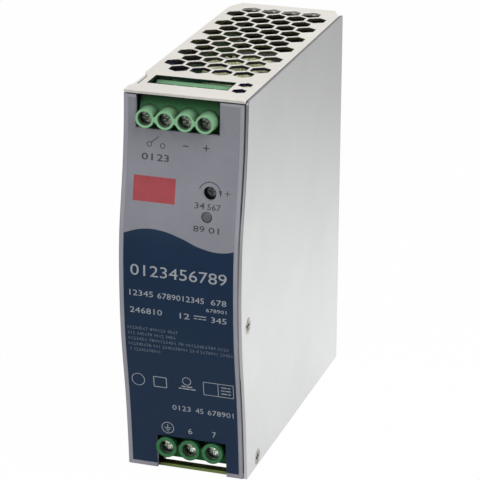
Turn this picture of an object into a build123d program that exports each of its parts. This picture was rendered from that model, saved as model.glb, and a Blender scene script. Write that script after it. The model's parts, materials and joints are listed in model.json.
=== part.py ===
from build123d import *
import math
import os

# Millimetres. Every piece is drawn from the case's left, front, bottom corner:
# X to the right from the outer left wall, Y to the back from the straight part of the
# front plane, Z up from the underside. write() moves it to the part's own frame, whose
# origin is the centre of the base.

# Case
width = 40.0
height = 125.2
body_depth = 103.5      # front plane to the back of the cover
rear_lip = 3.5          # the top and bottom plates run on this far past the cover
bulge = 6.5             # crest of the label ahead of the front plane
sheet = 1.0
panel_wall = 1.2
label_film = 0.15
seam = 0.4              # between the front panel and the plate over it
slip = 0.2              # clearance between pieces laid side by side
edge_round = 0.7
bend_round = 0.9
bulge_shape = [
    (0.0, 0.0), (0.12, 0.18), (0.24, 0.47), (0.36, 0.83), (0.52, 1.0),
    (0.655, 0.86), (0.78, 0.40), (0.88, 0.12), (1.0, 0.0),
]

# Vents: rows of hexagons, one fewer in every other row
vent_across = 6.1
vent_pitch = 7.06
vent_most = 5
vent_first_y = 25.9
small_vent_across = 4.2

# Label
label_side = 1.7
label_top = 2.3
label_bottom = 1.5

# Countersunk screws, and the tabs, flanges and return that they hold
csk_radius = 2.6
csk_length = 4.0
screw_a = (0.3, 52.7)    # Y and Z of the screw into the front panel's tab
screw_b = (10.8, 3.2)    # Y and Z of the screw into the bottom plate's flange
return_width = 8.0       # the cover's rear return
rear_screw_x = width - 4.5
rear_screws_z = (20.0, height - 20.2)
tab_depth = 5.3
tab_half = 5.5
flange = 6.0
flange_span = (20.0, 98.0)
weld_flange = 3.2        # inward flanges of the left wall
weld_span = (22.0, 98.0)

# Terminal blocks. The output block is at the top, the input block at the bottom.
output_size = {
    "poles": 4, "pitch": 6.37, "first": 8.0, "from_edge": 7.7, "rim": 3.3,
    "barrel": 3.25, "bore": 2.5, "head": 2.35, "shank": 1.5, "cage": 5.2,
    "left_gap": 0.65, "right_gap": 0.7, "end_gap": 0.65, "slot_front": 8.3,
    "wire_side": 6.2,       # screw axis to the face where wires enter
}
input_size = {
    "poles": 3, "pitch": 7.66, "first": 13.6, "from_edge": 8.15, "rim": 1.9,
    "barrel": 3.4, "bore": 2.85, "head": 2.65, "shank": 1.75, "cage": 6.2,
    "left_gap": 0.2, "right_gap": 0.88, "end_gap": 0.25, "slot_front": 4.4,
    "wire_side": 5.2,
}
block_front = 3.0
cavity_front_wall = 1.2
cavity_rear_wall = 1.4
front_lean = 1.8        # how far the block's face leans forward at the barrels
entry_depth = 1.5       # how deep the wire entries' common recess is
block_board_side = 5.0
head_recess = 2.8
head_thick = 1.8
cage_wall = 1.0
cage_side_wall = 0.5
cage_length = 8.1
cage_height = 5.2
clamp_travel = 3.0
clamp_slack = 0.7       # left in front of a clamp that is fully closed
clamp_back_gap = 0.2
bar_thick = 1.0
bar_width = 2.4
tail_width = 1.2
running = 0.05          # radial clearance of a turning shank
side_play = 0.1         # each side of a sliding piece

# Adjusting parts behind the front panel
trimmer_x = 28.7
trimmer_z = height * 0.765
trimmer_hole = 2.15
rotor_radius = 1.5
rotor_slot = 1.15
led_x = 28.2
led_z = height * 0.707
led_hole = 1.75
led_radius = 1.65
adjust_board_y = 3.4

# Boards
board = 1.6
small_board = 1.2
front_board_y = 17.8
board_x = 5.0           # left face of the main board
board_low = 5.0
board_high_gap = 5.2    # top edge of the main board below the case's top
board_rear_gap = 4.5
screw_radius = 1.5      # M3
screw_fit = 0.05
standoff_radius = 2.75

# Rail clip, for a 35 mm rail
rail_height = 35.0
rail_flange_gap = 1.4
rail_z = 62.6
clip_steel = 1.5
clip_width = 20.0
hook_overlap = 2.7
latch_width = 18.0
latch_steel = 1.2
latch_travel = 4.5
latch_low = 5.0
rivet_radius = 1.6
rivet_head = 2.9
spring_wire = 0.2
spring_radius = 1.3
spring_turns = 9
spring_low = 18.0
spring_high = 30.8

# Derived places
cavity_depth = clamp_slack + clamp_travel + cage_length + clamp_back_gap
block_depth = cavity_front_wall + cavity_depth + cavity_rear_wall
depth = bulge + body_depth + rear_lip
plate_back = body_depth + rear_lip
wall_back = body_depth - sheet          # outer face of the back wall
cover_x = width - sheet                 # inner face of the cover
top_z = height - sheet                  # underside of the top plate
main_top = height - board_high_gap
main_back = wall_back - sheet - board_rear_gap + 2.0
parts_x = board_x + board               # components stand on this face
seat_y = wall_back + clip_steel         # the rail's flanges rest here
clip_x = width / 2


def block(x, y, z):
    """A box from three (low, high) pairs."""
    size = Box(x[1] - x[0], y[1] - y[0], z[1] - z[0])
    return Pos((x[0] + x[1]) / 2, (y[0] + y[1]) / 2, (z[0] + z[1]) / 2) * size


def rod(axis, a, b, radius, low, high):
    """A cylinder along an axis, between low and high; a and b place it across that axis."""
    shape = Cylinder(radius, high - low)
    middle = (low + high) / 2
    if axis == "X":
        return Pos(middle, a, b) * Rot(0, 90, 0) * shape
    if axis == "Y":
        return Pos(a, middle, b) * Rot(90, 0, 0) * shape
    return Pos(a, b, middle) * shape


def cone(axis, a, b, low_radius, high_radius, low, high):
    """A cone along an axis, with its radius at the low and the high end."""
    shape = Cone(low_radius, high_radius, high - low)
    middle = (low + high) / 2
    if axis == "X":
        return Pos(middle, a, b) * Rot(0, 90, 0) * shape
    return Pos(a, middle, b) * Rot(-90, 0, 0) * shape


def write(node, *solids):
    """Moves solids from the case corner to the base centre and writes one node."""
    home = Pos(-width / 2, bulge - depth / 2, 0)
    moved = [home * solid for shape in solids for solid in shape.solids()]
    export_step(Compound(children=moved), "parts/" + node + ".step")


def front_curve(back):
    """The bulged front line at X = 0, set back from the panel's own face."""
    crest = bulge - label_film
    points = [(0, back - crest * share, height * z) for z, share in bulge_shape]
    return Spline(*points)


def front_y(z, back=0.0):
    """Where the panel's face is at a height, by the curve's nearest sample."""
    curve = front_curve(back)
    samples = [curve @ (step / 400) for step in range(401)]
    return min(samples, key=lambda point: abs(point.Z - z)).Y


def side_plate(x, front_set_back, rear_y, z):
    """A flat side wall whose front edge follows the bulge."""
    curve = front_curve(front_set_back)
    low = curve @ 0
    high = curve @ 1
    rim = [
        curve,
        Line(high, (0, rear_y, height)),
        Line((0, rear_y, height), (0, rear_y, 0)),
        Line((0, rear_y, 0), low),
    ]
    wall = extrude(Face(Wire(rim)), amount=x[1] - x[0], dir=(1, 0, 0))
    return Pos(x[0], 0, 0) * wall & block(x, (-2 * bulge, rear_y), z)


def curved_sheet(x, near, far, z):
    """A sheet between two set-backs of the front line."""
    front = front_curve(near)
    back = front_curve(far)
    rim = [front, Line(front @ 1, back @ 1), back, Line(back @ 0, front @ 0)]
    wall = extrude(Face(Wire(rim)), amount=x[1] - x[0], dir=(1, 0, 0))
    return Pos(x[0], 0, 0) * wall & block(x, (-2 * bulge, 2 * bulge), z)


def edges_at(solid, axis, x=None, y=None, z=None, near=0.02):
    """Edges along an axis that lie at the given coordinates."""
    picked = []
    for edge in solid.edges().filter_by(axis):
        middle = edge @ 0.5
        if x is not None and abs(middle.X - x) > near:
            continue
        if y is not None and abs(middle.Y - y) > near:
            continue
        if z is not None and abs(middle.Z - z) > near:
            continue
        picked.append(edge)
    return picked


def countersink(axis, a, b, outer, inward, through):
    """The cut for a countersunk screw whose head is flush at outer; inward is +1 or -1."""
    low, high = sorted((outer, outer + inward * sheet))
    radii = (csk_radius, screw_radius) if inward > 0 else (screw_radius, csk_radius)
    low_through, high_through = sorted((outer, outer + inward * through))
    hole = rod(axis, a, b, screw_radius + screw_fit, low_through, high_through)
    return cone(axis, a, b, radii[0] + screw_fit, radii[1] + screw_fit, low, high) + hole


def csk_screw(axis, a, b, outer, inward):
    """A countersunk screw with a cross recess, its head flush at outer."""
    low, high = sorted((outer, outer + inward * sheet))
    radii = (csk_radius, screw_radius) if inward > 0 else (screw_radius, csk_radius)
    low_end, high_end = sorted((outer, outer + inward * csk_length))
    screw = cone(axis, a, b, *radii, low, high) + rod(axis, a, b, screw_radius, low_end, high_end)
    slot_low, slot_high = sorted((outer, outer + inward * 0.8))
    for half_a, half_b in ((1.5, 0.35), (0.35, 1.5)):
        first = (a - half_a, a + half_a)
        second = (b - half_b, b + half_b)
        along = (slot_low, slot_high)
        cut = (along, first, second) if axis == "X" else (first, along, second)
        screw -= block(*cut)
    return screw


def vent_holes(z):
    """The honeycomb of hexagons, cut through a plate."""
    row_pitch = vent_pitch * math.sqrt(3) / 2
    rows = int((body_depth - vent_across / 2 - 1 - vent_first_y) / row_pitch) + 1
    centre = width / 2 - 0.6
    cell = RegularPolygon(vent_across / 2, 6, major_radius=False, rotation=30)
    cells = []
    for row in range(rows):
        count = vent_most - 1 + row % 2
        start = centre - vent_pitch * (count - 1) / 2
        for column in range(count):
            at = Pos(start + column * vent_pitch, vent_first_y + row * row_pitch, 0)
            cells.append(at * cell)
    return Pos(0, 0, z[0] - 1) * extrude(Sketch() + cells, amount=z[1] - z[0] + 2)


def plate_outline(left_points):
    """A top or bottom plate seen from above, with its rear corners cut off."""
    chamfer_x = 3.0
    chamfer_y = 6.0
    left = 0.3
    points = [
        *left_points,
        (left, plate_back - chamfer_y),
        (left + chamfer_x, plate_back),
        (cover_x - chamfer_x, plate_back),
        (cover_x, plate_back - chamfer_y),
        (cover_x, left_points[0][1]),
    ]
    return make_face(Polyline(*points, close=True))


def pole_places(size):
    """Each pole's place along X."""
    return [size["first"] + pole * size["pitch"] for pole in range(size["poles"])]


def opening(size):
    """The front panel's cut-out round the screw barrels: its X span and its height from the edge."""
    poles = pole_places(size)
    low = poles[0] - size["barrel"] - size["left_gap"]
    high = poles[-1] + size["barrel"] + size["right_gap"]
    return low, high, size["from_edge"] + size["barrel"] + size["end_gap"]


def wire_slot(size, z):
    """The cut in a plate over the wire entries."""
    low, high, _ = opening(size)
    return block((low + 0.4, high - 0.4), (size["slot_front"], cavity_span()[1] + 1), z)


def top_plate():
    """Honeycomb top with an ear at the front left and a flange inside the cover."""
    ear = [(0.3, 0), (0.3, 4.6), (1.6, 6.4), (2.4, 6.9), (2.4, 15.0), (0.3, 19.0)]
    plate = Pos(0, 0, top_z) * extrude(plate_outline(ear), amount=sheet)
    side = block((cover_x - sheet, cover_x), flange_span, (top_z - flange, top_z))
    plate = plate + side
    plate = fillet(edges_at(plate, Axis.Y, x=cover_x, z=height), bend_round)
    plate -= wire_slot(output_size, (top_z - 1, height + 1))
    plate -= vent_holes((top_z, height))
    small = RegularPolygon(small_vent_across / 2, 6, major_radius=False, rotation=30)
    for y in (9.1, 15.5):
        plate -= Pos(width - 6, y, top_z - 1) * extrude(small, amount=sheet + 2)
    write("top_plate", plate)


def bottom_plate():
    """Honeycomb bottom with the input wires' slot and a notch for the latch."""
    front = panel_wall + slip
    plate = extrude(plate_outline([(0.3, front)]), amount=sheet)
    low, high = screw_b[1], flange + 2
    plate += block((cover_x - sheet, cover_x), (front + 2, flange_span[1]), (sheet / 2, high))
    plate = fillet(edges_at(plate, Axis.Y, x=cover_x, z=0), edge_round / 2)
    plate -= wire_slot(input_size, (-1, sheet + 1))
    plate -= vent_holes((0, sheet))
    half = latch_width / 2 + 1
    plate -= block((clip_x - half, clip_x + half), (wall_back - 0.1, plate_back + 1), (-1, 2))
    plate -= rod("X", screw_b[0], low, screw_radius + screw_fit, cover_x - 3, cover_x + 1)
    write("bottom_plate", plate)


def chassis():
    """Left wall and back wall in one bent sheet, with inward flanges the plates are welded to."""
    wall = side_plate((0, sheet), panel_wall + slip, wall_back, (sheet, top_z))
    wall += block((0, cover_x - slip), (wall_back - sheet, wall_back), (sheet, top_z))
    wall = fillet(edges_at(wall, Axis.Z, x=0, y=wall_back), bend_round)
    for z in ((sheet, 2 * sheet), (top_z - sheet, top_z)):
        wall += block((sheet / 2, sheet + weld_flange), weld_span, z)
    wall -= countersink("X", *screw_a, 0, 1, 3)
    for z in rear_screws_z:
        wall -= rod("Y", rear_screw_x, z, screw_radius + screw_fit, wall_back - 3, wall_back + 1)
    for z in bracket_screws_z():
        wall -= rod("Y", clip_x, z, screw_radius + screw_fit, wall_back - 3, wall_back + 1)
    for z in rivet_places():
        wall -= rod("Y", clip_x, z, rivet_radius - 0.5 + screw_fit, wall_back - 3, wall_back + 1)
    anchor_y = (wall_back - sheet / 2, wall_back + 3.3)
    anchor = block((clip_x - 2, clip_x + 2), anchor_y, (spring_low - 1.2, spring_low))
    write("case_chassis", wall + anchor)


def cover():
    """The flat right cover with its rear return."""
    low = slip
    high = height - slip
    side = side_plate((cover_x, width), 0, body_depth, (low, high))
    corner = 1.2
    corner_y = front_y(high) + corner
    side -= block((cover_x - 1, width + 1), (-2 * bulge, corner_y), (high - corner, height + 1))
    side += rod("X", corner_y, high - corner, corner, cover_x, width)
    return_x = (width - return_width, width - sheet / 2)
    back = block(return_x, (wall_back, body_depth), (sheet + slip, top_z - slip))
    side = side + back
    outer = edges_at(side, Axis.Z, x=width, y=body_depth)
    side = fillet(outer, bend_round)
    for y, z in (screw_a, screw_b):
        side -= countersink("X", y, z, width, -1, 3)
    for z in rear_screws_z:
        side -= countersink("Y", rear_screw_x, z, body_depth, -1, 3)
    write("right_cover", side)


def panel():
    """The bulged front panel with its two terminal openings, two round holes and side tabs."""
    high = top_z - seam
    face = curved_sheet((0, cover_x - slip), 0, panel_wall, (0, high))
    crest = front_y(height / 2)
    upright = [e for e in face.edges() if e.length > height / 2 and abs((e @ 0.5).Y - crest) < 0.8]
    face = fillet(upright, edge_round)
    z = (screw_a[1] - tab_half, screw_a[1] + tab_half)
    start = front_y(screw_a[1] + tab_half) + 0.9
    face += block((sheet, 2 * sheet), (start, tab_depth), z)
    face += block((cover_x - slip - sheet, cover_x - slip), (start, tab_depth), z)
    low, high, tall = opening(output_size)
    face -= block((low, high), (-bulge, 2 * bulge), (height - tall, height))
    low, high, tall = opening(input_size)
    face -= block((low, high), (-bulge, 2 * bulge), (-1, tall))
    face -= rod("Y", trimmer_x, trimmer_z, trimmer_hole, -2 * bulge, bulge)
    face -= rod("Y", led_x, led_z, led_hole, -2 * bulge, bulge)
    face -= rod("X", *screw_a, screw_radius + screw_fit, 0.5, 4)
    face -= rod("X", *screw_a, screw_radius + screw_fit, cover_x - 4, cover_x)
    write("front_panel", face)


def label():
    """The printed film on the front panel."""
    x = (label_side, cover_x - label_side)
    film = curved_sheet(x, -label_film, 0, (label_bottom, height - label_top))
    low, high, tall = opening(output_size)
    film -= block((low, high), (-2 * bulge, bulge), (height - tall, height))
    low, high, tall = opening(input_size)
    film -= block((low, high), (-2 * bulge, bulge), (-1, tall))
    film -= rod("Y", trimmer_x, trimmer_z, trimmer_hole, -2 * bulge, bulge)
    film -= rod("Y", led_x, led_z, led_hole, -2 * bulge, bulge)
    write("front_label", film)


def case_screws():
    """Countersunk screws of the cover and of the front panel."""
    screws = [csk_screw("X", *screw_a, width, -1), csk_screw("X", *screw_b, width, -1)]
    screws.append(csk_screw("X", *screw_a, 0, 1))
    screws += [csk_screw("Y", rear_screw_x, z, body_depth, -1) for z in rear_screws_z]
    write("case_screws", *screws)


def at_edge(size, shape):
    """Puts a shape drawn about the screw axis, wires entering at +Z, at its edge of the case."""
    if size is output_size:
        return Pos(0, 0, height - size["from_edge"]) * shape
    return Pos(0, 0, size["from_edge"]) * mirror(shape, about=Plane.XY)


def cavity_span():
    return (block_front + cavity_front_wall, block_front + cavity_front_wall + cavity_depth)


def along_x(span, outline):
    """A solid of one outline in Y and Z, from one X to another."""
    points = [(span[0], y, z) for y, z in outline]
    return extrude(make_face(Polyline(*points, close=True)), amount=span[1] - span[0], dir=(1, 0, 0))


def leaning_face(span, top):
    """The wedge in front of the block, thickest at the barrels' height."""
    front = block_front - front_lean
    return along_x(span, [(front, -1), (front, 1), (block_front, top), (block_front + 0.5, 0)])


def entry_recess(top):
    """The recess that the wire entries share, with a slope up to the rear edge."""
    low = top - entry_depth
    front = block_front + 4
    foot = cavity_span()[1] - 1
    outline = [(front, top + 1), (front + 0.6, low), (foot, low), (foot + 2.2, top), (foot + 2.2, top + 1)]
    return along_x((0, width), outline)


def terminal_block(size):
    """A green housing: screw barrels in front, wire entries on top, clamps in its cavities."""
    poles = pole_places(size)
    half = size["pitch"] / 2 + 0.1
    back = block_front + block_depth
    span = (poles[0] - half, poles[-1] + half)
    top = size["wire_side"]
    housing = block(span, (block_front, back), (-block_board_side, top))
    housing += leaning_face(span, top)
    housing -= entry_recess(top)
    housing += block((poles[0], poles[-1]), (-size["rim"] + 0.7, block_front + 0.2), (-0.7, 0.7))
    for x in poles:
        housing += rod("Y", x, 0, size["barrel"], -size["rim"], block_front + 1)
    floor = -size["rim"] + head_recess + head_thick
    cavity = size["cage"] / 2 + side_play
    for x in poles:
        housing -= rod("Y", x, 0, size["bore"], -size["rim"] - 1, floor)
        housing -= rod("Y", x, 0, size["shank"] + running, floor - 1, cavity_span()[0] + 1)
        hollow_z = (-block_board_side + 1, top + 1)
        housing -= block((x - cavity, x + cavity), cavity_span(), hollow_z)
        housing -= tail_hole(x, (back - 2, back + 1))
    return at_edge(size, housing)


def bar_low():
    return -cage_height / 2 - bar_thick - 0.3


def bar_front():
    return cavity_span()[0] + clamp_slack + clamp_travel + cage_wall + 0.3


def tail_hole(x, y):
    """The cut for a contact bar's solder tail."""
    half = tail_width / 2 + side_play
    return block((x - half, x + half), y, (bar_low() - side_play, bar_low() + bar_thick + side_play))


def contact_bars(size):
    """The fixed bars that the clamps press wires against, with their solder tails."""
    bars = []
    tail_end = front_board_y + board + 1.6
    for x in pole_places(size):
        upright_x = (x - bar_width / 2, x + bar_width / 2)
        upright = block(upright_x, (bar_front(), bar_front() + bar_thick), (bar_low(), cage_height / 2))
        tail_x = (x - tail_width / 2, x + tail_width / 2)
        tail = block(tail_x, (bar_front(), tail_end), (bar_low(), bar_low() + bar_thick))
        bars.append(at_edge(size, upright + tail))
    return bars


def terminal_screw(size, x):
    """A captive screw with a combined cross and slot."""
    seat = -size["rim"] + head_recess + head_thick
    head = rod("Y", x, 0, size["head"], seat - head_thick, seat - running)
    screw = head + rod("Y", x, 0, size["shank"], seat - 1, bar_front() - side_play)
    top = seat - head_thick
    screw -= block((x - 4, x + 4), (top - 1, top + 0.8), (-0.4, 0.4))
    screw -= block((x - 1.4, x + 1.4), (top - 1, top + 1.2), (-0.45, 0.45))
    screw -= block((x - 0.45, x + 0.45), (top - 1, top + 1.2), (-1.4, 1.4))
    return at_edge(size, screw)


def clamp(size, x):
    """The rising cage: the screw threads its front wall, and its rear wall lifts the wire."""
    half = size["cage"] / 2
    rear = cavity_span()[1] - clamp_back_gap
    y = (rear - cage_length, rear)
    z = (-cage_height / 2, cage_height / 2)
    cage = block((x - half, x + half), y, z)
    inner = half - cage_side_wall
    cage -= block((x - inner, x + inner), (y[0] + cage_wall, y[1] - cage_wall), (z[0] - 1, z[1] + 1))
    cage -= rod("Y", x, 0, size["shank"] + running, y[0] - 1, y[0] + cage_wall + 1)
    return at_edge(size, cage)


def terminals():
    for name, size in (("output", output_size), ("input", input_size)):
        write(name + "_block", terminal_block(size))
        for number, x in enumerate(pole_places(size), 1):
            write(name + "_screw_" + str(number), terminal_screw(size, x))
            write(name + "_clamp_" + str(number), clamp(size, x))
    write("contact_bars", *contact_bars(output_size), *contact_bars(input_size))


def adjusting_parts():
    """Trimmer, status LED, their small board and the connector that carries it."""
    y = adjust_board_y
    half = 3.4
    body = block((trimmer_x - half, trimmer_x + half), (y - 4.0, y), (trimmer_z - half, trimmer_z + half))
    bore_end = y - 1.6
    body -= rod("Y", trimmer_x, trimmer_z, rotor_radius + running, y - 5, bore_end + side_play)
    write("trimmer_body", body)
    face = y - 3.9
    rotor = rod("Y", trimmer_x, trimmer_z, rotor_radius, face, bore_end)
    for half_x, half_z in ((rotor_slot, 0.25), (0.25, rotor_slot)):
        slot_x = (trimmer_x - half_x, trimmer_x + half_x)
        rotor -= block(slot_x, (face - 1, face + 0.7), (trimmer_z - half_z, trimmer_z + half_z))
    write("trimmer_rotor", rotor)
    tip = front_y(led_z) - label_film
    lens = rod("Y", led_x, led_z, led_radius, tip + 0.5, y - 2.8)
    lens += cone("Y", led_x, led_z, led_radius - 0.3, led_radius, tip, tip + 0.5)
    lens += rod("Y", led_x, led_z, led_radius + 0.35, y - 2.9, y - 2.0)
    for side in (-1.27, 1.27):
        leg = led_x + side
        leg_y = (y - 2.2, y + small_board + 0.8)
        lens += block((leg - 0.25, leg + 0.25), leg_y, (led_z - 0.25, led_z + 0.25))
    write("status_led", lens)
    x_span = (21.0, width - 3.5)
    plate = block(x_span, (y, y + small_board), (led_z - 5.5, trimmer_z + 8.2))
    for side in (-1.27, 1.27):
        plate -= rod("Y", led_x + side, led_z, 0.45, y - 1, y + 3)
    write("adjust_board", plate)
    low = led_z - 4.5
    rear = y + small_board
    strip = block((24, 34), (rear, rear + 2.5), (low, low + 2.5))
    strip += block((24, 34), (rear + 4.5, front_board_y), (low, low + 2.5))
    for pin in range(4):
        x = 25.2 + pin * 2.54
        strip += block((x - 0.32, x + 0.32), (rear + 2, rear + 5), (low + 0.93, low + 1.57))
    write("adjust_connector", strip)


def standoff_places():
    """Y and Z of the four standoffs."""
    low = board_low + 5
    high = main_top - 5
    front = front_board_y + board + 6.6
    back = main_back - 5
    return [(front, low), (back, low), (front, high), (back, high)]


def board_tabs():
    """Heights of the main board's tabs through the front board."""
    return [board_low + 15, board_low + 53, main_top - 20]


def main_boards():
    """The main board on its standoffs, and the front board that its tabs pass through."""
    front = front_board_y + board
    main = block((board_x, parts_x), (front + side_play, main_back), (board_low, main_top))
    carrier = block((1.6, cover_x - 1.5), (front_board_y, front), (3, height - 3.6))
    for z in board_tabs():
        main += block((board_x, parts_x), (front_board_y - 0.2, front + 1), (z, z + 10))
        slot_x = (board_x - side_play, parts_x + side_play)
        carrier -= block(slot_x, (front_board_y - 1, front + 1), (z - side_play, z + 10 + side_play))
    for y, z in standoff_places():
        main -= rod("X", y, z, screw_radius + screw_fit, board_x - 1, parts_x + 1)
    for size in (output_size, input_size):
        for x in pole_places(size):
            carrier -= at_edge(size, tail_hole(x, (front_board_y - 1, front + 1)))
    write("main_board", main)
    write("front_board", carrier)
    film = (sheet + 0.15, sheet + 0.45)
    left = block(film, (22, main_back), (4, main_top + 1))
    posts = []
    for y, z in standoff_places():
        left -= rod("X", y, z, standoff_radius + 0.4, 0, 3)
        post = rod("X", y, z, standoff_radius, sheet, board_x)
        posts.append(post - rod("X", y, z, screw_radius + screw_fit, 0, board_x + 1))
    write("board_standoffs", *posts)
    right = block((cover_x - 0.45, cover_x - 0.15), (20.5, 98), (9, top_z - flange - 1))
    write("insulating_sheets", left, right)


def pan_screw(axis, a, b, seat, inward, length):
    """A pan-head screw whose head rests on seat and whose shank runs inward (+1 or -1)."""
    head_low, head_high = sorted((seat, seat - inward * 1.6))
    low, high = sorted((seat - inward * 0.5, seat + inward * length))
    screw = rod(axis, a, b, 2.8, head_low, head_high) + rod(axis, a, b, screw_radius, low, high)
    top = seat - inward * 1.6
    cut_low, cut_high = sorted((top, top + inward * 0.9))
    for half_a, half_b in ((1.5, 0.35), (0.35, 1.5)):
        first = (a - half_a, a + half_a)
        second = (b - half_b, b + half_b)
        along = (cut_low, cut_high)
        cut = (along, first, second) if axis == "X" else (first, along, second)
        screw -= block(*cut)
    return screw


def bracket_screws_z():
    return (rail_z - 6.6, rail_z + 7.4)


def pan_screws():
    """Identical screws of the main board and of the rail bracket."""
    screws = [pan_screw("X", y, z, parts_x, -1, 5) for y, z in standoff_places()]
    screws += [pan_screw("Y", clip_x, z, seat_y, -1, 5) for z in bracket_screws_z()]
    write("pan_screws", *screws)


def ring_core(axis_turn, centre, outer, inner, thick):
    shape = Cylinder(outer, thick) - Cylinder(inner, thick + 1)
    return Pos(*centre) * Rot(*axis_turn) * shape


def coil_bands(axis_turn, centre, outer, inner, thick, spans, band):
    """Square-edged windings round a ring core, one body for each (start, sweep) span."""
    coils = []
    for start, sweep in spans:
        half = (outer - inner) / 2 + band
        tall = thick / 2 + band
        middle = (outer + inner) / 2
        section = Pos(middle, 0, 0) * Rectangle(2 * half, 2 * tall)
        section = fillet(section.vertices(), band * 0.9)
        turned = Rot(90, 0, 0) * section
        sweep_body = revolve(turned, axis=Axis.Z, revolution_arc=sweep)
        clear = Cylinder(outer + 0.05, thick + 0.1) - Cylinder(inner - 0.05, thick + 1)
        coils.append(Pos(*centre) * Rot(*axis_turn) * Rot(0, 0, start) * (sweep_body - clear))
    return coils


def input_parts():
    """Fuse, thermistor, common-mode choke, capacitors and bridge at the lower front."""
    x = parts_x
    z = board_low + 5
    fuse = rod("Y", x + 3.4, z, 2.6, 34.5, 51.5)
    fuse += rod("Y", x + 3.4, z, 2.9, 33, 38) + rod("Y", x + 3.4, z, 2.9, 48, 53)
    for y in (35.5, 50.5):
        fuse += block((x, x + 3), (y - 1, y + 1), (z - 1, z + 1))
    write("input_fuse", fuse)
    disc = rod("Y", x + 9, board_low + 22, 6.5, 22.5, 27.0)
    for side in (-2.5, 2.5):
        leg = board_low + 22 + side
        disc += block((x, x + 5), (24.3, 25.1), (leg - 0.4, leg + 0.4))
    write("inrush_thermistor", disc)
    flat = (90, 0, 0)
    centre = (x + 11.9, 40, board_low + 26)
    write("input_choke_core", ring_core(flat, centre, 10, 5.4, 8))
    coils = coil_bands(flat, centre, 10, 5.4, 8, ((110, 140), (290, 140)), 1.6)
    write("input_choke_coils", *coils)
    case_box = block((x, x + 15), (50.5, 59), (board_low + 14, board_low + 32))
    write("x_capacitor", fillet(case_box.edges().filter_by(Axis.X), 0.8))
    discs = []
    for y in (51, 57):
        disc = rod("Y", x + 6, board_low + 39, 4, y, y + 3.4)
        for side in (-2, 2):
            leg = board_low + 39 + side
            disc += block((x, x + 3.5), (y + 1.4, y + 2), (leg - 0.3, leg + 0.3))
        discs.append(disc)
    write("y_capacitors", *discs)
    back = heat_front()
    bridge = block((x + 4, x + 22), (back - 4, back), (board_low + 12, board_low + 31))
    for leg in range(4):
        z = board_low + 14 + leg * 5
        bridge += block((x, x + 5), (back - 2.4, back - 1.4), (z - 0.5, z + 0.5))
    write("bridge_rectifier", bridge)


def heat_front():
    """Front face of the heat spreaders."""
    return wall_back - sheet - 6.4


def wound_bobbin(centre, size):
    """An E-core pair round a coil: returns the core and the coil."""
    cx, cy, cz = centre
    dx, dy, dz = (value / 2 for value in size)
    leg = dz * 0.28
    frame = block((cx - dx * 0.5, cx + dx * 0.5), (cy - dy, cy + dy), (cz - dz, cz + dz))
    window = block((cx - dx, cx + dx), (cy - dy + leg, cy + dy - leg), (cz - dz + leg, cz + dz - leg))
    post = block((cx - dx * 0.5, cx + dx * 0.5), (cy - leg, cy + leg), (cz - dz, cz + dz))
    core = frame - window + post
    wide = dy - leg - 0.3
    tall = dz - leg - 0.3
    coil = block((cx - dx, cx + dx), (cy - wide, cy + wide), (cz - tall, cz + tall))
    coil = fillet(coil.edges().filter_by(Axis.Z), 2.0)
    hole = leg + side_play
    core_half = dx / 2 + side_play
    coil -= block((cx - core_half, cx + core_half), (cy - hole, cy + hole), (cz - dz, cz + dz))
    pins = []
    for y in (cy - wide + 2, cy + wide - 2):
        for z in (cz - tall + 2, cz, cz + tall - 2):
            pins.append(block((parts_x, cx - dx + 1), (y - 0.4, y + 0.4), (z - 0.4, z + 0.4)))
    return core, coil + pins


def power_parts():
    """Boost choke, bulk capacitor, transformer and the transistors on their heat spreader."""
    x = parts_x
    middle = board_low + 57
    core, coil = wound_bobbin((x + 13, 74, middle - 10), (22, 22, 24))
    write("boost_choke_core", core)
    write("boost_choke_coil", coil)
    can = rod("X", 74, board_low + 18, 11, x + 0.6, x + 30)
    can = fillet(can.edges().filter_by(GeomType.CIRCLE), 1.2)
    can += rod("X", 77, board_low + 18, 0.5, x, x + 2) + rod("X", 71, board_low + 18, 0.5, x, x + 2)
    write("bulk_capacitor", can)
    core, coil = wound_bobbin((x + 14.5, 44, middle + 10), (26, 26, 30))
    write("transformer_core", core)
    write("transformer_coil", coil)
    back = heat_front()
    transistors = [tab_package(back, z) for z in (middle - 13, middle + 5)]
    write("power_transistors", *transistors)
    rectifiers = [tab_package(back, z) for z in (main_top - 32, main_top - 20)]
    write("output_rectifiers", *rectifiers)
    plates = []
    for z in ((board_low + 9, middle + 18), (main_top - 36, main_top - 9)):
        plate = block((x, x + 28), (back, back + 3), z)
        plates.append(fillet(plate.edges().filter_by(Axis.Y), 0.6))
    write("heat_spreaders", *plates)


def tab_package(back, z):
    """A three-legged power package with its metal tab against the heat spreader."""
    x = parts_x
    body = block((x + 7, x + 16.2), (back - 4.4, back), (z - 5, z + 5))
    body += block((x + 16, x + 22.4), (back - 1.3, back), (z - 5, z + 5))
    body -= rod("Y", x + 19.4, z, 1.8, back - 5, back + 1)
    for leg in (-2.54, 0, 2.54):
        body += block((x, x + 7.5), (back - 2.9, back - 2.3), (z + leg - 0.4, z + leg + 0.4))
    return body


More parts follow.
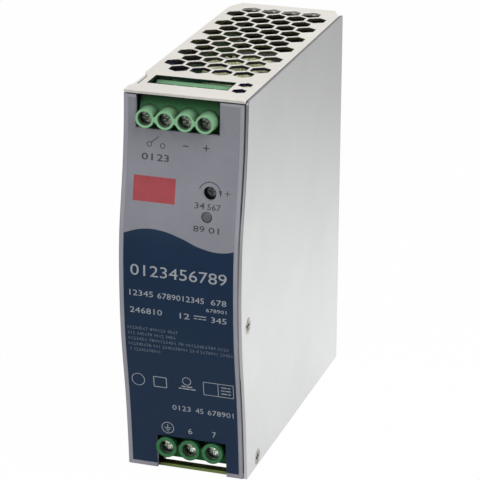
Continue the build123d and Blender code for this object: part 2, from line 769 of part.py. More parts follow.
def output_parts():
    """Output choke, capacitors, optocouplers, relay and control board near the top."""
    x = parts_x
    centre = (x + 16.4, 45, main_top - 2.8)
    write("output_choke_core", ring_core((0, 0, 0), centre, 11, 6, 7))
    coils = coil_bands((0, 0, 0), centre, 11, 6, 7, ((0, 330),), 1.7)
    start = main_top - 3.2
    lead = block((x, x + 4.2), (44.6, 45.4), (start, start + 0.8))
    write("output_choke_coil", *coils, lead)
    cans = []
    for y in (63.5, 74.7, 85.9):
        can = rod("X", y, main_top - 10, 5, x + 0.4, x + 22)
        can = fillet(can.edges().filter_by(GeomType.CIRCLE), 0.8)
        for side in (-2.5, 2.5):
            can += rod("X", y, main_top - 10 + side, 0.35, x, x + 1)
        cans.append(can)
    write("output_capacitors", *cans)
    chips = []
    for y in (62, 70):
        chips.append(block((x + 0.5, x + 4), (y, y + 6.4), (main_top - 28, main_top - 23.4)))
        for z in (main_top - 27.4, main_top - 24.9):
            chips[-1] += block((x, x + 1), (y - 0.6, y + 7), (z, z + 0.8))
    write("optocouplers", *chips)
    relay = block((x + 0.3, x + 10.5), (21.5, 29), (main_top - 36, main_top - 16))
    relay = fillet(relay.edges().filter_by(Axis.X), 0.5)
    for z in (main_top - 34, main_top - 26, main_top - 18):
        relay += block((x, x + 1), (24.9, 25.6), (z - 0.4, z + 0.4))
    write("alarm_relay", relay)
    low = board_low + 74
    card = block((x, x + 20), (62, 88), (low, low + small_board))
    for y in (65, 76):
        card += block((x + 6, x + 10), (y, y + 8), (low + 1, low + small_board + 1.6))
    write("control_board", card)


def rail_bracket():
    """The fixed plate that the rail rests on, hooked over the rail's upper edge."""
    half = clip_width / 2
    x = (clip_x - half, clip_x + half)
    rail_top = rail_z + rail_height / 2
    hook = rail_top + 0.5
    front = seat_y + rail_flange_gap
    plate = block(x, (wall_back, seat_y), (rail_z - 12.5, hook + clip_steel))
    plate += block(x, (wall_back, front + clip_steel), (hook, hook + clip_steel))
    lip = block(x, (front, front + clip_steel), (rail_top - hook_overlap, hook + clip_steel))
    plate += lip
    plate = fillet(edges_at(plate, Axis.X, y=front + clip_steel, z=hook + clip_steel), 1.0)
    for z in bracket_screws_z():
        plate -= rod("Y", clip_x, z, screw_radius + screw_fit, wall_back - 1, seat_y + 1)
    write("rail_bracket", plate)


def rivet_places():
    """Heights of the latch's two guide rivets."""
    low = latch_low + 4.4
    return (low, rail_z - rail_height / 2 - 9.6)


def latch():
    """The sliding latch: a ledge and lip under the rail, two guide slots, a spring window."""
    half = latch_width / 2
    x = (clip_x - half, clip_x + half)
    back = wall_back + 0.15
    y = (back, back + latch_steel)
    outer = seat_y + rail_flange_gap + clip_steel - 0.1
    ledge = rail_z - rail_height / 2 - 0.3
    plate = block(x, y, (latch_low, ledge))
    plate += block(x, (back, outer), (ledge - clip_steel, ledge))
    plate += block(x, (outer - clip_steel + 0.1, outer), (ledge - clip_steel, ledge + hook_overlap + 0.4))
    plate += block((clip_x - 7, clip_x + 7), (back, outer), (latch_low, latch_low + 1.2))
    slot = rivet_radius + side_play
    for z in rivet_places():
        plate -= rod("Y", clip_x, z, slot, back - 1, outer)
        plate -= rod("Y", clip_x, z + latch_travel + side_play, slot, back - 1, y[1] + 0.1)
        run = (z, z + latch_travel + side_play)
        plate -= block((clip_x - slot, clip_x + slot), (back - 1, y[1] + 0.1), run)
    window = (spring_low - 1.7, spring_high)
    plate -= block((clip_x - 2.8, clip_x + 2.8), (back - 1, y[1] + 1), window)
    seat = (spring_high, spring_high + 1.2)
    plate += block((clip_x - 2, clip_x + 2), (back, outer - 1.0), seat)
    write("rail_latch", plate)


def latch_rivets():
    """Shoulder rivets that the latch slides on."""
    head_low = wall_back + 0.15 + latch_steel + side_play
    rivets = []
    for z in rivet_places():
        rivet = rod("Y", clip_x, z, rivet_radius - 0.5, wall_back - sheet, wall_back + 0.5)
        rivet += rod("Y", clip_x, z, rivet_radius, wall_back, head_low + 0.2)
        rivet += rod("Y", clip_x, z, rivet_head, head_low, head_low + 0.9)
        rivets.append(rivet)
    write("latch_rivets", *rivets)


def latch_spring():
    """A compression spring between the chassis anchor and the latch's window."""
    low = spring_low + spring_wire + 0.05
    high = spring_high - spring_wire - 0.05
    rise = high - low
    path = Helix(rise / spring_turns, rise, spring_radius)
    start = path @ 0
    ring = Plane(origin=start, z_dir=path % 0) * Circle(spring_wire)
    coil = sweep(ring, path=path, is_frenet=True)
    write("latch_spring", Pos(clip_x, wall_back + 1.8, low) * coil)


os.makedirs("parts", exist_ok=True)
chassis()
top_plate()
bottom_plate()
panel()
label()
cover()
case_screws()
terminals()
adjusting_parts()
main_boards()
pan_screws()
input_parts()
power_parts()
output_parts()
rail_bracket()
latch()
latch_rivets()
latch_spring()
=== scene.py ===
import json
import math
import bmesh
import bpy
from mathutils import Matrix, Vector


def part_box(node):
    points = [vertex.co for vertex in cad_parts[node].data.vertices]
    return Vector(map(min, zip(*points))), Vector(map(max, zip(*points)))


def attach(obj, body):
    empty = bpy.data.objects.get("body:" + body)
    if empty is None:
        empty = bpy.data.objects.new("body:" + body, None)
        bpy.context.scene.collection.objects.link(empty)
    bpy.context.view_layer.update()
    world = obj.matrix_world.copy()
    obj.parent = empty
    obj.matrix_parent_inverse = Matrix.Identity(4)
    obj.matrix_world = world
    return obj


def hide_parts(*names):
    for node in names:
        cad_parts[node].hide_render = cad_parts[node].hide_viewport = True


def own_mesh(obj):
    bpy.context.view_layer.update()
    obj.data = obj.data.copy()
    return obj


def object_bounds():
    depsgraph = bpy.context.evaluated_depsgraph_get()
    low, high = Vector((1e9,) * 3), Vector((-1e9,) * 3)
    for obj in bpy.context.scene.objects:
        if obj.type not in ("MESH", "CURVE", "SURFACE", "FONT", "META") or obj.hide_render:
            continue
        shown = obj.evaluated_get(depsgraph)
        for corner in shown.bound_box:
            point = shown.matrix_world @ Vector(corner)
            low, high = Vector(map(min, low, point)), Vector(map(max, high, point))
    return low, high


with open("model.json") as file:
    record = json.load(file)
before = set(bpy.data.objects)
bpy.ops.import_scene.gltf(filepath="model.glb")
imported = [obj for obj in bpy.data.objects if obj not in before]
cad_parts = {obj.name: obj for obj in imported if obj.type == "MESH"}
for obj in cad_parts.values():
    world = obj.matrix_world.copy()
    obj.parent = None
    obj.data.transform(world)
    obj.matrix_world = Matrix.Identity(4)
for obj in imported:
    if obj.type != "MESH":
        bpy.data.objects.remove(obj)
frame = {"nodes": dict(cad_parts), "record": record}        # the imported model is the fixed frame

mm = 0.001
noiseLow, noiseHigh = 0.3, 0.7       # where most of a noise lies
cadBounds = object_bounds()
cadNodes = frame["nodes"]
scene = bpy.context.scene


# small helpers

def inkTone(hexText):
    # a screen colour as the linear colour that Blender works in
    levels = [int(hexText[k:k + 2], 16) / 255 for k in (0, 2, 4)]
    return tuple(v / 12.92 if v <= 0.04045 else ((v + 0.055) / 1.055) ** 2.4 for v in levels) + (1.0,)


def join(tree, source, target):
    tree.links.new(source, target)


def addNode(tree, kind, values=None, **settings):
    # an input takes a link, a screen colour or a plain value
    made = tree.nodes.new(kind)
    for name, value in settings.items():
        setattr(made, name, value)
    for name, value in (values or {}).items():
        if hasattr(value, "is_linked"):
            join(tree, value, made.inputs[name])
        else:
            made.inputs[name].default_value = inkTone(value) if isinstance(value, str) else value
    return made


def mathNode(tree, operation, first, second=None):
    values = {0: first} if second is None else {0: first, 1: second}
    return addNode(tree, "ShaderNodeMath", values, operation=operation).outputs[0]


def mixTone(tree, factor, first, second, mode="MIX"):
    values = {0: factor, 6: first, 7: second}
    return addNode(tree, "ShaderNodeMix", values, data_type="RGBA", blend_type=mode).outputs[2]


def times(tree, first, second):
    return mathNode(tree, "MULTIPLY", first, second)


def plus(tree, first, second):
    return mathNode(tree, "ADD", first, second)


def minus(tree, first, second):
    return mathNode(tree, "SUBTRACT", first, second)


def split(tree, vector):
    # a vector's X, Y and Z
    return addNode(tree, "ShaderNodeSeparateXYZ", {0: vector}).outputs


def faceNormal(tree):
    # the true normal's X, Y and Z
    return split(tree, tree.nodes.new("ShaderNodeNewGeometry").outputs["True Normal"])


def shaded(tree, tone, shade):
    return mixTone(tree, 1.0, tone, shade, "MULTIPLY")


def stretch(tree, value, lowIn, highIn, lowOut=0.0, highOut=1.0):
    values = {"Value": value, "From Min": lowIn, "From Max": highIn, "To Min": lowOut, "To Max": highOut}
    return addNode(tree, "ShaderNodeMapRange", values).outputs[0]


def newTree(name, inputs, outputs, kind="ShaderNodeTree"):
    # a tree, with what it's given and what it gives
    tree = bpy.data.node_groups.new(name, kind)
    for label, sort, value in inputs:
        socket = tree.interface.new_socket(label, in_out="INPUT", socket_type="NodeSocket" + sort)
        if value is not None:
            socket.default_value = value
    for label, sort in outputs:
        tree.interface.new_socket(label, in_out="OUTPUT", socket_type="NodeSocket" + sort)
    return tree, tree.nodes.new("NodeGroupInput").outputs, tree.nodes.new("NodeGroupOutput").inputs


def noiseIn(tree, vector, scale, detail, roughness=0.5):
    values = {"Vector": vector, "Scale": scale, "Detail": detail, "Roughness": roughness}
    return addNode(tree, "ShaderNodeTexNoise", values).outputs["Fac"]


# effects that several finishes share

def buildGrain():
    # fine skin and slow unevenness, from two scales of noise
    group, given, result = newTree("surfaceGrain", [
        ("Vector", "Vector", None), ("Fine Scale", "Float", 2500.0),
        ("Slow Scale", "Float", 60.0), ("Stretch", "Vector", (1, 1, 1))],
        [("Fine", "Float"), ("Slow", "Float")])
    pulled = addNode(group, "ShaderNodeVectorMath", {0: given["Vector"], 1: given["Stretch"]},
                     operation="MULTIPLY")
    for scale, label, detail in (("Fine Scale", "Fine", 3.0), ("Slow Scale", "Slow", 4.0)):
        join(group, noiseIn(group, pulled.outputs[0], given[scale], detail, 0.55), result[label])
    return group


def buildEdgeWear():
    # where the rounded normal leaves the true one there is an edge, broken up by noise
    group, given, result = newTree("edgeWear", [
        ("Vector", "Vector", None), ("Radius", "Float", 0.0004),
        ("Amount", "Float", 1.0)],
        [("Mask", "Float"), ("Normal", "Vector")])
    bevel = addNode(group, "ShaderNodeBevel", {"Radius": given["Radius"]}, samples=4)
    geometry = addNode(group, "ShaderNodeNewGeometry")
    turn = addNode(group, "ShaderNodeVectorMath", {0: bevel.outputs[0], 1: geometry.outputs["Normal"]},
                   operation="DOT_PRODUCT")
    edge = stretch(group, turn.outputs["Value"], 1.0, 0.8)
    broken = stretch(group, noiseIn(group, given["Vector"], 700.0, 4.0), 0.35, 0.65, 0.2, 1.0)
    join(group, times(group, times(group, edge, broken), given["Amount"]), result["Mask"])
    join(group, bevel.outputs[0], result["Normal"])
    return group


def buildDust():
    # a thin film that settles on faces that look up
    group, given, result = newTree("restingDust", [
        ("Vector", "Vector", None), ("Amount", "Float", 0.3)],
        [("Mask", "Float")])
    geometry = addNode(group, "ShaderNodeNewGeometry")
    parts = split(group, geometry.outputs["Normal"])
    facing = stretch(group, parts["Z"], 0.3, 0.95)
    patches = stretch(group, noiseIn(group, given["Vector"], 180.0, 5.0), 0.3, 0.75, 0.3, 1.0)
    join(group, times(group, times(group, facing, patches), given["Amount"]), result["Mask"])
    return group


def buildInside():
    # 1 for places within the case's sheets, 0 for what is seen from outside
    group, given, result = newTree("insideCase", [
        ("Vector", "Vector", None), ("Low", "Vector", (0, 0, 0)),
        ("High", "Vector", (1, 1, 1))],
        [("Mask", "Float")])
    place = split(group, given["Vector"])
    total = None
    for label, operation in (("Low", "GREATER_THAN"), ("High", "LESS_THAN")):
        limit = split(group, given[label])
        for k in range(3):
            within = mathNode(group, operation, place[k], limit[k])
            total = within if total is None else times(group, total, within)
    join(group, total, result["Mask"])
    return group


def buildPaintedCreviceShade():
    # painted shade: how open a place is, less where other pieces stand close
    group, given, result = newTree("creviceShade", [
        ("Vector", "Vector", None), ("Reach", "Float", 0.006),
        ("Floor", "Float", 0.3)],
        [("Shade", "Float")])
    around = addNode(group, "ShaderNodeAmbientOcclusion", {"Distance": given["Reach"]}, samples=6)
    uneven = stretch(group, noiseIn(group, given["Vector"], 500.0, 3.0), noiseLow, noiseHigh, -0.02, 0.02)
    openness = plus(group, around.outputs["AO"], uneven)
    join(group, stretch(group, openness, 0.3, 0.9, given["Floor"]), result["Shade"])
    return group


grainGroup, wearGroup, dustGroup = buildGrain(), buildEdgeWear(), buildDust()
insideGroup, paintedCreviceShadeGroup = buildInside(), buildPaintedCreviceShade()


class Finish:
    # a material being put together: its tree, its shader and its Object coordinates
    def __init__(self, name, tone, roughness, metallic=0.0):
        self.material = bpy.data.materials.new(name)
        self.material.use_nodes = True
        self.tree = self.material.node_tree
        self.shader = self.tree.nodes["Principled BSDF"]
        self.plain("Base Color", inkTone(tone))
        self.plain("Roughness", roughness)
        self.plain("Metallic", metallic)
        self.place = self.tree.nodes.new("ShaderNodeTexCoord").outputs["Object"]
        self.softened = None

    def group(self, group, **values):
        made = self.tree.nodes.new("ShaderNodeGroup")
        made.node_tree = group
        for name, value in values.items():
            made.inputs[name.replace("_", " ")].default_value = value
        join(self.tree, self.place, made.inputs["Vector"])
        return made

    def grain(self, fine, slow, **values):
        # noise at two scales, whose fine part also sets the roughness and the bumps
        self.skin = self.group(grainGroup, Fine_Scale=fine, Slow_Scale=slow, **values).outputs
        return self.skin["Slow"]

    def cloud(self, slow, low=0.0, high=1.0):
        return stretch(self.tree, slow, noiseLow, noiseHigh, low, high)

    def worn(self, radius, amount):
        made = self.group(wearGroup, Radius=radius, Amount=amount).outputs
        self.softened = made["Normal"]
        return made["Mask"]

    def rough(self, low, high):
        self.feed("Roughness", stretch(self.tree, self.skin["Fine"], noiseLow, noiseHigh, low, high))

    def bump(self, strength, distance):
        made = addNode(self.tree, "ShaderNodeBump", {"Strength": strength, "Distance": distance,
                                                     "Height": self.skin["Fine"]})
        if self.softened is not None:
            join(self.tree, self.softened, made.inputs["Normal"])
        join(self.tree, made.outputs[0], self.shader.inputs["Normal"])

    def within(self, low, high):
        return self.group(insideGroup, Low=tuple(low), High=tuple(high)).outputs["Mask"]

    def inside(self):
        # within the case: from the back of the front panel to the back wall, where the finishes paint shade
        return self.within(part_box("case_chassis")[0] + Vector((0.9, 1.0, 1.1)) * mm,
                           cadBounds[1] + Vector((-0.9, -4.55, -0.95)) * mm)

    def feed(self, socket, value):
        join(self.tree, value, self.shader.inputs[socket])

    def plain(self, socket, value):
        self.shader.inputs[socket].default_value = value


# finishes of the sheet metal

# places for the painted shade on hole walls and inside faces, and for the painted green reflections
plated = {      # millimetres in from the case's corners, or from the block that the strip lies under
    "punched": ((2.2, 9.0, -1), (-2.2, -8, -0.04)), "violetShadeReach": (24, 60), "greenReflectionOverBlock": 1,
    "mirror": ((-1.2, 0, -1), (-3.6, 14, 2.4)), "mirrorStart": 5,
}


def platedSteel(name="platedSteel", mirrorGreenPainted=False):
    # the flag marks the strip under the input terminals, on which a painted reflection of their green goes
    made = Finish(name, "E4E1DA", 0.38, 0.9)
    tree = made.tree
    slow = made.grain(900.0, 22.0, Stretch=(1.0, 1.0, 0.25))
    wear = made.worn(0.0003, 0.6)
    tone = mixTone(tree, made.cloud(slow), "DEDAD3", "EAE7E0")
    low, high = plated["punched"]
    punched = made.within(cadBounds[0] + Vector(low) * mm, cadBounds[1] + Vector(high) * mm)
    facing = faceNormal(tree)
    upright = mathNode(tree, "LESS_THAN", mathNode(tree, "ABSOLUTE", facing["Z"]), 0.5)
    across = split(tree, made.place)
    # painted shade: dark olive for the upright hole walls, darker for the faces inside the case
    edge, inner = "56543E", "2A2A24"
    if not mirrorGreenPainted:
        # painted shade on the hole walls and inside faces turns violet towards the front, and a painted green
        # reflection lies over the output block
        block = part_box("output_block")[1]
        near, far = (cadBounds[0].y + reach * mm for reach in plated["violetShadeReach"])
        back = stretch(tree, across["Y"], near, far)
        limit = block + Vector((1, 1, 1)) * plated["greenReflectionOverBlock"] * mm
        greenReflectionOverBlock = times(tree, mathNode(tree, "LESS_THAN", across["Y"], limit.y),
                          mathNode(tree, "LESS_THAN", across["X"], limit.x))
        edge = mixTone(tree, greenReflectionOverBlock, mixTone(tree, back, "2D2950", edge), "1F3D2C")
        inner = mixTone(tree, back, "3A3568", inner)
    # painted shade on the upright hole walls, then edge wear, then painted shade inside the case
    tone = mixTone(tree, times(tree, punched, upright), tone, edge)
    tone = mixTone(tree, wear, tone, "F4F2EC")
    tone = mixTone(tree, made.inside(), tone, inner)
    if mirrorGreenPainted:
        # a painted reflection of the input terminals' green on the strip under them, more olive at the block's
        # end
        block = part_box("input_block")[0]
        low, high = (Vector(reach) * mm for reach in plated["mirror"])
        near = made.within(Vector((block.x, cadBounds[0].y, cadBounds[0].z)) + low,
                           Vector((cadBounds[1].x, block.y, cadBounds[0].z)) + high)
        along = stretch(tree, across["X"], block.x, block.x + plated["mirrorStart"] * mm)
        mirror = mixTone(tree, along, "4C4A30", "6E8048")
        tone = mixTone(tree, near, tone, mixTone(tree, 0.35, mirror, tone, "MULTIPLY"))
    made.feed("Base Color", tone)
    made.rough(0.34, 0.46)
    made.bump(0.12, 0.00004)
    return made.material


# places for the cover's painted shadow lines and painted shade
coverEdge = {   # millimetres in from the broad side, up from the foot and ahead of the rear
    "seamShadow": (0.86, 0.72), "topSeamShadow": (0.66, 0.48), "lipShadow": (0.2, 0.1), "shadeFade": (62, 92), "rear": 1.2,
}


def coverSteel():
    # neutral and even on the broad side, with grey sheared edges that are painted darker towards the top as
    # shade, a painted shadow line along the seam and painted shade on the faces inside the case
    made = Finish("coverSteel", "E1E2E2", 0.38, 0.9)
    tree = made.tree
    slow = made.grain(1900.0, 26.0)
    wear = made.worn(0.00025, 0.35)
    tone = mixTone(tree, made.cloud(slow), "DEDFDF", "E5E6E6")
    tone = mixTone(tree, wear, tone, "EFEFEE")
    facing = faceNormal(tree)
    narrow = mathNode(tree, "LESS_THAN", mathNode(tree, "ABSOLUTE", facing["X"]), 0.5)
    across = split(tree, made.place)
    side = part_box("right_cover")[1].x
    # painted shadow lines: along the seam, wider on the top edge's upward face, and thin at the outer corner
    seamShadow, wide, lipShadow = (stretch(tree, across["X"], *(side - reach * mm for reach in coverEdge[label]), *ends)
                       for label, ends in (("seamShadow", (1.0, 0.0)), ("topSeamShadow", (1.0, 0.0)), ("lipShadow", (0.0, 0.7))))
    upward = mathNode(tree, "GREATER_THAN", facing["Z"], 0.5)
    seamShadow = mathNode(tree, "MAXIMUM", seamShadow, times(tree, upward, wide))
    # painted shade that grows towards the top, on the sheared edges and their shadow lines
    foot, head = (cadBounds[0].z + reach * mm for reach in coverEdge["shadeFade"])
    shadeUpward = stretch(tree, across["Z"], foot, head)
    line = times(tree, mathNode(tree, "MAXIMUM", seamShadow, lipShadow), shadeUpward)
    shearedAndShaded = mixTone(tree, shadeUpward, "C6C6C9", "94949A")
    shearedAndShaded = mixTone(tree, line, shearedAndShaded, "343338")
    ahead = mathNode(tree, "LESS_THAN", across["Y"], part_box("right_cover")[1].y - coverEdge["rear"] * mm)
    tone = mixTone(tree, times(tree, narrow, ahead), tone, shearedAndShaded)
    # painted shade on the faces inside the case
    made.feed("Base Color", mixTone(tree, made.inside(), tone, "33332C"))
    made.rough(0.35, 0.43)
    made.bump(0.1, 0.00003)
    return made.material


def zincSteel():
    made = Finish("zincSteel", "C9CBCC", 0.32, 1.0)
    tree = made.tree
    slow = made.grain(1400.0, 90.0, Stretch=(0.2, 1.0, 1.0))
    wear = made.worn(0.0003, 0.8)
    tone = mixTone(tree, made.cloud(slow), "B9BCC0", "D2D2CC")
    made.feed("Base Color", mixTone(tree, wear, tone, "ECECEA"))
    made.rough(0.24, 0.42)
    made.bump(0.2, 0.00005)
    return made.material


def panelPaint():
    made = Finish("panelPaint", "9A9AA3", 0.46)
    tree = made.tree
    slow = made.grain(2600.0, 70.0)
    wear = made.worn(0.0003, 0.5)
    tone = mixTone(tree, made.cloud(slow), "96969F", "9E9EA8")
    tone = mixTone(tree, wear, tone, "B2B2BA")
    # painted shade on the faces that look to the back
    rearShade = mathNode(tree, "GREATER_THAN", faceNormal(tree)["Y"], 0.3)
    made.feed("Base Color", mixTone(tree, rearShade, tone, "2B2B28"))
    made.plain("Specular IOR Level", 0.3)
    made.rough(0.38, 0.5)
    made.bump(0.15, 0.00003)
    return made.material


# the printed label

labelPrint = {
    "grey": "898A93", "navy": "0A2743", "darkInk": "30333B", "lightInk": "9BA0A9", "faintInk": "5F6978",
    "red": "9E333C",
    "wide": 40, "scale": 100, "soft": 0.0006,       # the wave's own units
    "wave": [(0, 80.4), (1.8, 81.1), (7.7, 82.9), (14.0, 82.9), (20.2, 81.3),
             (26.4, 79.0), (33.0, 78.1), (38.2, 79.2), (40, 79.9)],
}


def labelFilm():
    # grey film with a navy field under a wavy line, both in millimetres from the panel's lower left corner
    made = Finish("labelFilm", labelPrint["grey"], 0.36)
    made.plain("Specular IOR Level", 0.24)
    tree = made.tree
    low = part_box("front_panel")[0]
    parts = split(tree, made.place)
    wide, scale, soft = labelPrint["wide"], labelPrint["scale"], labelPrint["soft"]
    across = stretch(tree, parts["X"], low.x, low.x + wide * mm)
    curve = addNode(tree, "ShaderNodeFloatCurve")
    line = curve.mapping.curves[0]
    line.points[0].location = (0, labelPrint["wave"][0][1] / scale)
    line.points[1].location = (1, labelPrint["wave"][-1][1] / scale)
    for x, z in labelPrint["wave"][1:-1]:
        line.points.new(x / wide, z / scale)
    curve.mapping.update()
    join(tree, across, curve.inputs["Value"])
    over = minus(tree, mathNode(tree, "DIVIDE", parts["Z"], scale * mm), curve.outputs[0])
    mask = stretch(tree, over, -soft, soft, 1.0, 0.0)
    slow = made.grain(3500.0, 90.0)
    cloud = made.cloud(slow, 0.94, 1.04)
    tone = mixTone(tree, mask, labelPrint["grey"], labelPrint["navy"])
    made.feed("Base Color", shaded(tree, tone, cloud))
    made.rough(0.33, 0.44)
    made.bump(0.12, 0.00002)
    return made.material


def plainInk(name, tone):
    made = Finish(name, tone, 0.4)
    slow = made.grain(2500.0, 300.0)
    made.feed("Base Color", shaded(made.tree, tone, made.cloud(slow, 0.9, 1.08)))
    made.rough(0.36, 0.5)
    return made.material


# finishes of the terminals and small parts

def moulded(name, tone, roughness=0.42, fine=1800.0, bump=0.1):
    made = Finish(name, tone, roughness)
    tree = made.tree
    slow = made.grain(fine, 110.0)
    wear = made.worn(0.00025, 0.35)
    dust = made.group(dustGroup, Amount=0.08)
    shade = made.cloud(slow, 0.9, 1.08)
    body = shaded(tree, tone, shade)
    light = mixTone(tree, 0.35, tone, (1, 1, 1, 1))
    body = mixTone(tree, wear, body, light)
    made.feed("Base Color", mixTone(tree, dust.outputs["Mask"], body, "B8B4AA"))
    made.rough(roughness - 0.06, roughness + 0.08)
    made.bump(bump, 0.00004)
    return made.material


# places for the terminal green's painted shade and painted shadow
greenShade = {  # millimetres in from the case's ends, back from the output rims, down from that block's top
    "rise": 20, "behind": (3.6, 5.6), "ahead": (9, 10), "top": (5, 1),
}


def terminalGreen():
    # paler at the output end and darker low down, as painted shade; painted shade wherever the shell folds in,
    # and a painted shadow of the plates behind the barrels
    made = Finish("terminalGreen", "5B9D72", 0.4)
    tree = made.tree
    slow = made.grain(1800.0, 110.0)
    wear = made.worn(0.0003, 0.5)
    # painted shade where the shell folds in
    creviceShadeNode = made.group(paintedCreviceShadeGroup, Reach=0.009, Floor=0.16)
    place = split(tree, made.place)
    # painted shade: darker low down, paler higher up
    reach = greenShade["rise"] * mm
    rise = stretch(tree, place["Z"], cadBounds[0].z + reach, cadBounds[1].z - reach)
    tone = mixTone(tree, rise, "357347", "8ABF93")
    tone = mixTone(tree, wear, tone, "A6D0AE")
    # painted shadow: the face behind the barrels, in the plates' shelter, is painted dark, darkest near the
    # block's top
    forward = mathNode(tree, "LESS_THAN", faceNormal(tree)["Y"], -0.5)
    rim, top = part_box("output_block")[0].y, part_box("output_block")[1].z
    behind, ahead = (stretch(tree, place["Y"], *(rim + reach * mm for reach in greenShade[label]), *ends)
                     for label, ends in (("behind", (0.0, 1.0)), ("ahead", (1.0, 0.0))))
    plateShadow = times(tree, forward, times(tree, behind, ahead))
    high = stretch(tree, place["Z"], *(top - reach * mm for reach in greenShade["top"]))
    shadow = mixTone(tree, high, "2E9A48", "0A5A24")
    tone = mixTone(tree, plateShadow, tone, shadow)
    made.plain("Specular IOR Level", 0.12)
    shade = times(tree, creviceShadeNode.outputs["Shade"], made.cloud(slow, 0.92, 1.05))
    made.feed("Base Color", shaded(tree, tone, shade))
    made.rough(0.34, 0.48)
    made.bump(0.1, 0.00004)
    return made.material


def turnedMetal(name, tone, roughness=0.25, scale=1200.0, mottle=0.86, depth=0.4):
    made = Finish(name, tone, roughness, 1.0)
    tree = made.tree
    slow = made.grain(scale, 620.0)
    wear = made.worn(0.0002, 0.7)
    # painted shade where other pieces stand close, floored at depth, times random mottling
    creviceShadeNode = made.group(paintedCreviceShadeGroup, Reach=0.003, Floor=depth)
    shade = times(tree, creviceShadeNode.outputs["Shade"], stretch(tree, slow, 0.35, 0.65, mottle, 1.05))
    body = shaded(tree, tone, shade)
    made.feed("Base Color", mixTone(tree, wear, body, "F2F1EC"))
    made.rough(roughness - 0.06, roughness + 0.1)
    made.bump(0.15, 0.00003)
    return made.material


def ledLens():
    made = Finish("ledLens", "606166", 0.5)
    made.plain("Specular IOR Level", 0.3)
    made.plain("Subsurface Weight", 0.1)
    made.plain("Subsurface Radius", (0.001, 0.001, 0.001))
    made.plain("Subsurface Scale", 1.0)
    slow = made.grain(2200.0, 400.0)
    made.feed("Base Color", shaded(made.tree, "606166", made.cloud(slow, 0.94, 1.05)))
    made.rough(0.4, 0.52)
    made.bump(0.1, 0.00003)
    return made.material


finishes = {
    "plated_steel": platedSteel(),
    "zinc_steel": zincSteel(),
    "panel_paint": panelPaint(),
    "label_print": labelFilm(),
    "screw_nickel": turnedMetal("screwNickel", "CFCDC4", 0.24, 1600.0, 0.4, 0.42),
    "clamp_steel": turnedMetal("clampSteel", "C4C5C2", 0.34),
    "contact_tin": turnedMetal("contactTin", "C8C8C2", 0.38),
    "spring_wire": turnedMetal("springWire", "A8A9AA", 0.3, 3000.0),
    "terminal_green": terminalGreen(),
    "board_laminate": moulded("boardLaminate", "274C2C", 0.45, 1200.0, 0.05),
    # painted shade: the insulating film is made dark, as it looks in the shade inside the case
    "insulating_film": moulded("insulatingFilm", "2E2F2A", 0.34, 900.0, 0.03),
    "black_plastic": moulded("blackPlastic", "0E0F14", 0.45),
    "rotor_grey": moulded("rotorGrey", "7C7D82", 0.4),
    "led_lens": ledLens(),
    "standoff_brass": turnedMetal("standoffBrass", "C6A864", 0.3),
    "heat_aluminium": turnedMetal("heatAluminium", "B9BABC", 0.36, 700.0),
    "ferrite": moulded("ferrite", "2E2E31", 0.55, 700.0, 0.3),
    "tape_winding": moulded("tapeWinding", "EDEFC6", 0.4, 500.0, 0.1),
    "capacitor_sleeve": moulded("capacitorSleeve", "23262E", 0.35, 1400.0, 0.04),
    "film_capacitor": moulded("filmCapacitor", "B9AE5A", 0.42),
    "ceramic_disc": moulded("ceramicDisc", "35507C", 0.5),
    "fuse_body": moulded("fuseBody", "D8D3C4", 0.4),
}
for part in frame["record"]["subparts"]:
    cadNode = cadNodes[part["node"]]
    cadNode.data.materials.clear()
    cadNode.data.materials.append(finishes[part["material_slot"]])
cadNodes["right_cover"].data.materials[0] = coverSteel()
# lit and shaded copies of the screw finish for the two blocks, both tinted with a painted green reflection; the
# output heads are the shaded ones
outputHeads = turnedMetal("outputHeads", "E0ECDB", 0.24, 1600.0, 0.4, 0.55)
inputHeads = turnedMetal("inputHeads", "F0F6EC", 0.2, 1600.0, 0.6, 1.0)
for block, poles, heads in (("output", 4, outputHeads), ("input", 3, inputHeads)):
    for k in range(poles):
        cadNodes[f"{block}_screw_{k + 1}"].data.materials[0] = heads
cadNodes["bottom_plate"].data.materials[0] = platedSteel("floorSteel", mirrorGreenPainted=True)
print("finishes are on")


# geometry node helpers

def newShape(name, inputs):
    sockets = [("Geometry", "Geometry", None)] + inputs
    return newTree(name, sockets, [("Geometry", "Geometry")], "GeometryNodeTree")


def finishTree(tree, given, result, shape):
    # every tree ends by making its copies real and giving them their finish
    real = addNode(tree, "GeometryNodeRealizeInstances", {0: shape})
    coat = addNode(tree, "GeometryNodeSetMaterial", {"Geometry": real.outputs[0], "Material": given["Finish"]})
    join(tree, coat.outputs[0], result[0])


def together(tree, shapes):
    both = tree.nodes.new("GeometryNodeJoinGeometry")
    for shape in shapes:
        join(tree, shape, both.inputs[0])
    return both.outputs[0]


def sweep(tree, path, section):
    values = {"Fill Caps": True, "Curve": path, "Profile Curve": section}
    return addNode(tree, "GeometryNodeCurveToMesh", values).outputs[0]


def oblong(tree, wide, tall):
    return addNode(tree, "GeometryNodeCurvePrimitiveQuadrilateral", {"Width": wide, "Height": tall}).outputs[0]


def emptyMesh(name, verts=(), faces=()):
    mesh = bpy.data.meshes.new(name)
    mesh.from_pydata(list(verts), [], list(faces))
    made = bpy.data.objects.new(name, mesh)
    scene.collection.objects.link(made)
    return made


def oneFinish(mesh, finish, smooth=True):
    mesh.materials.clear()
    mesh.materials.append(finish)
    for face in mesh.polygons:
        face.material_index = 0
        face.use_smooth = smooth


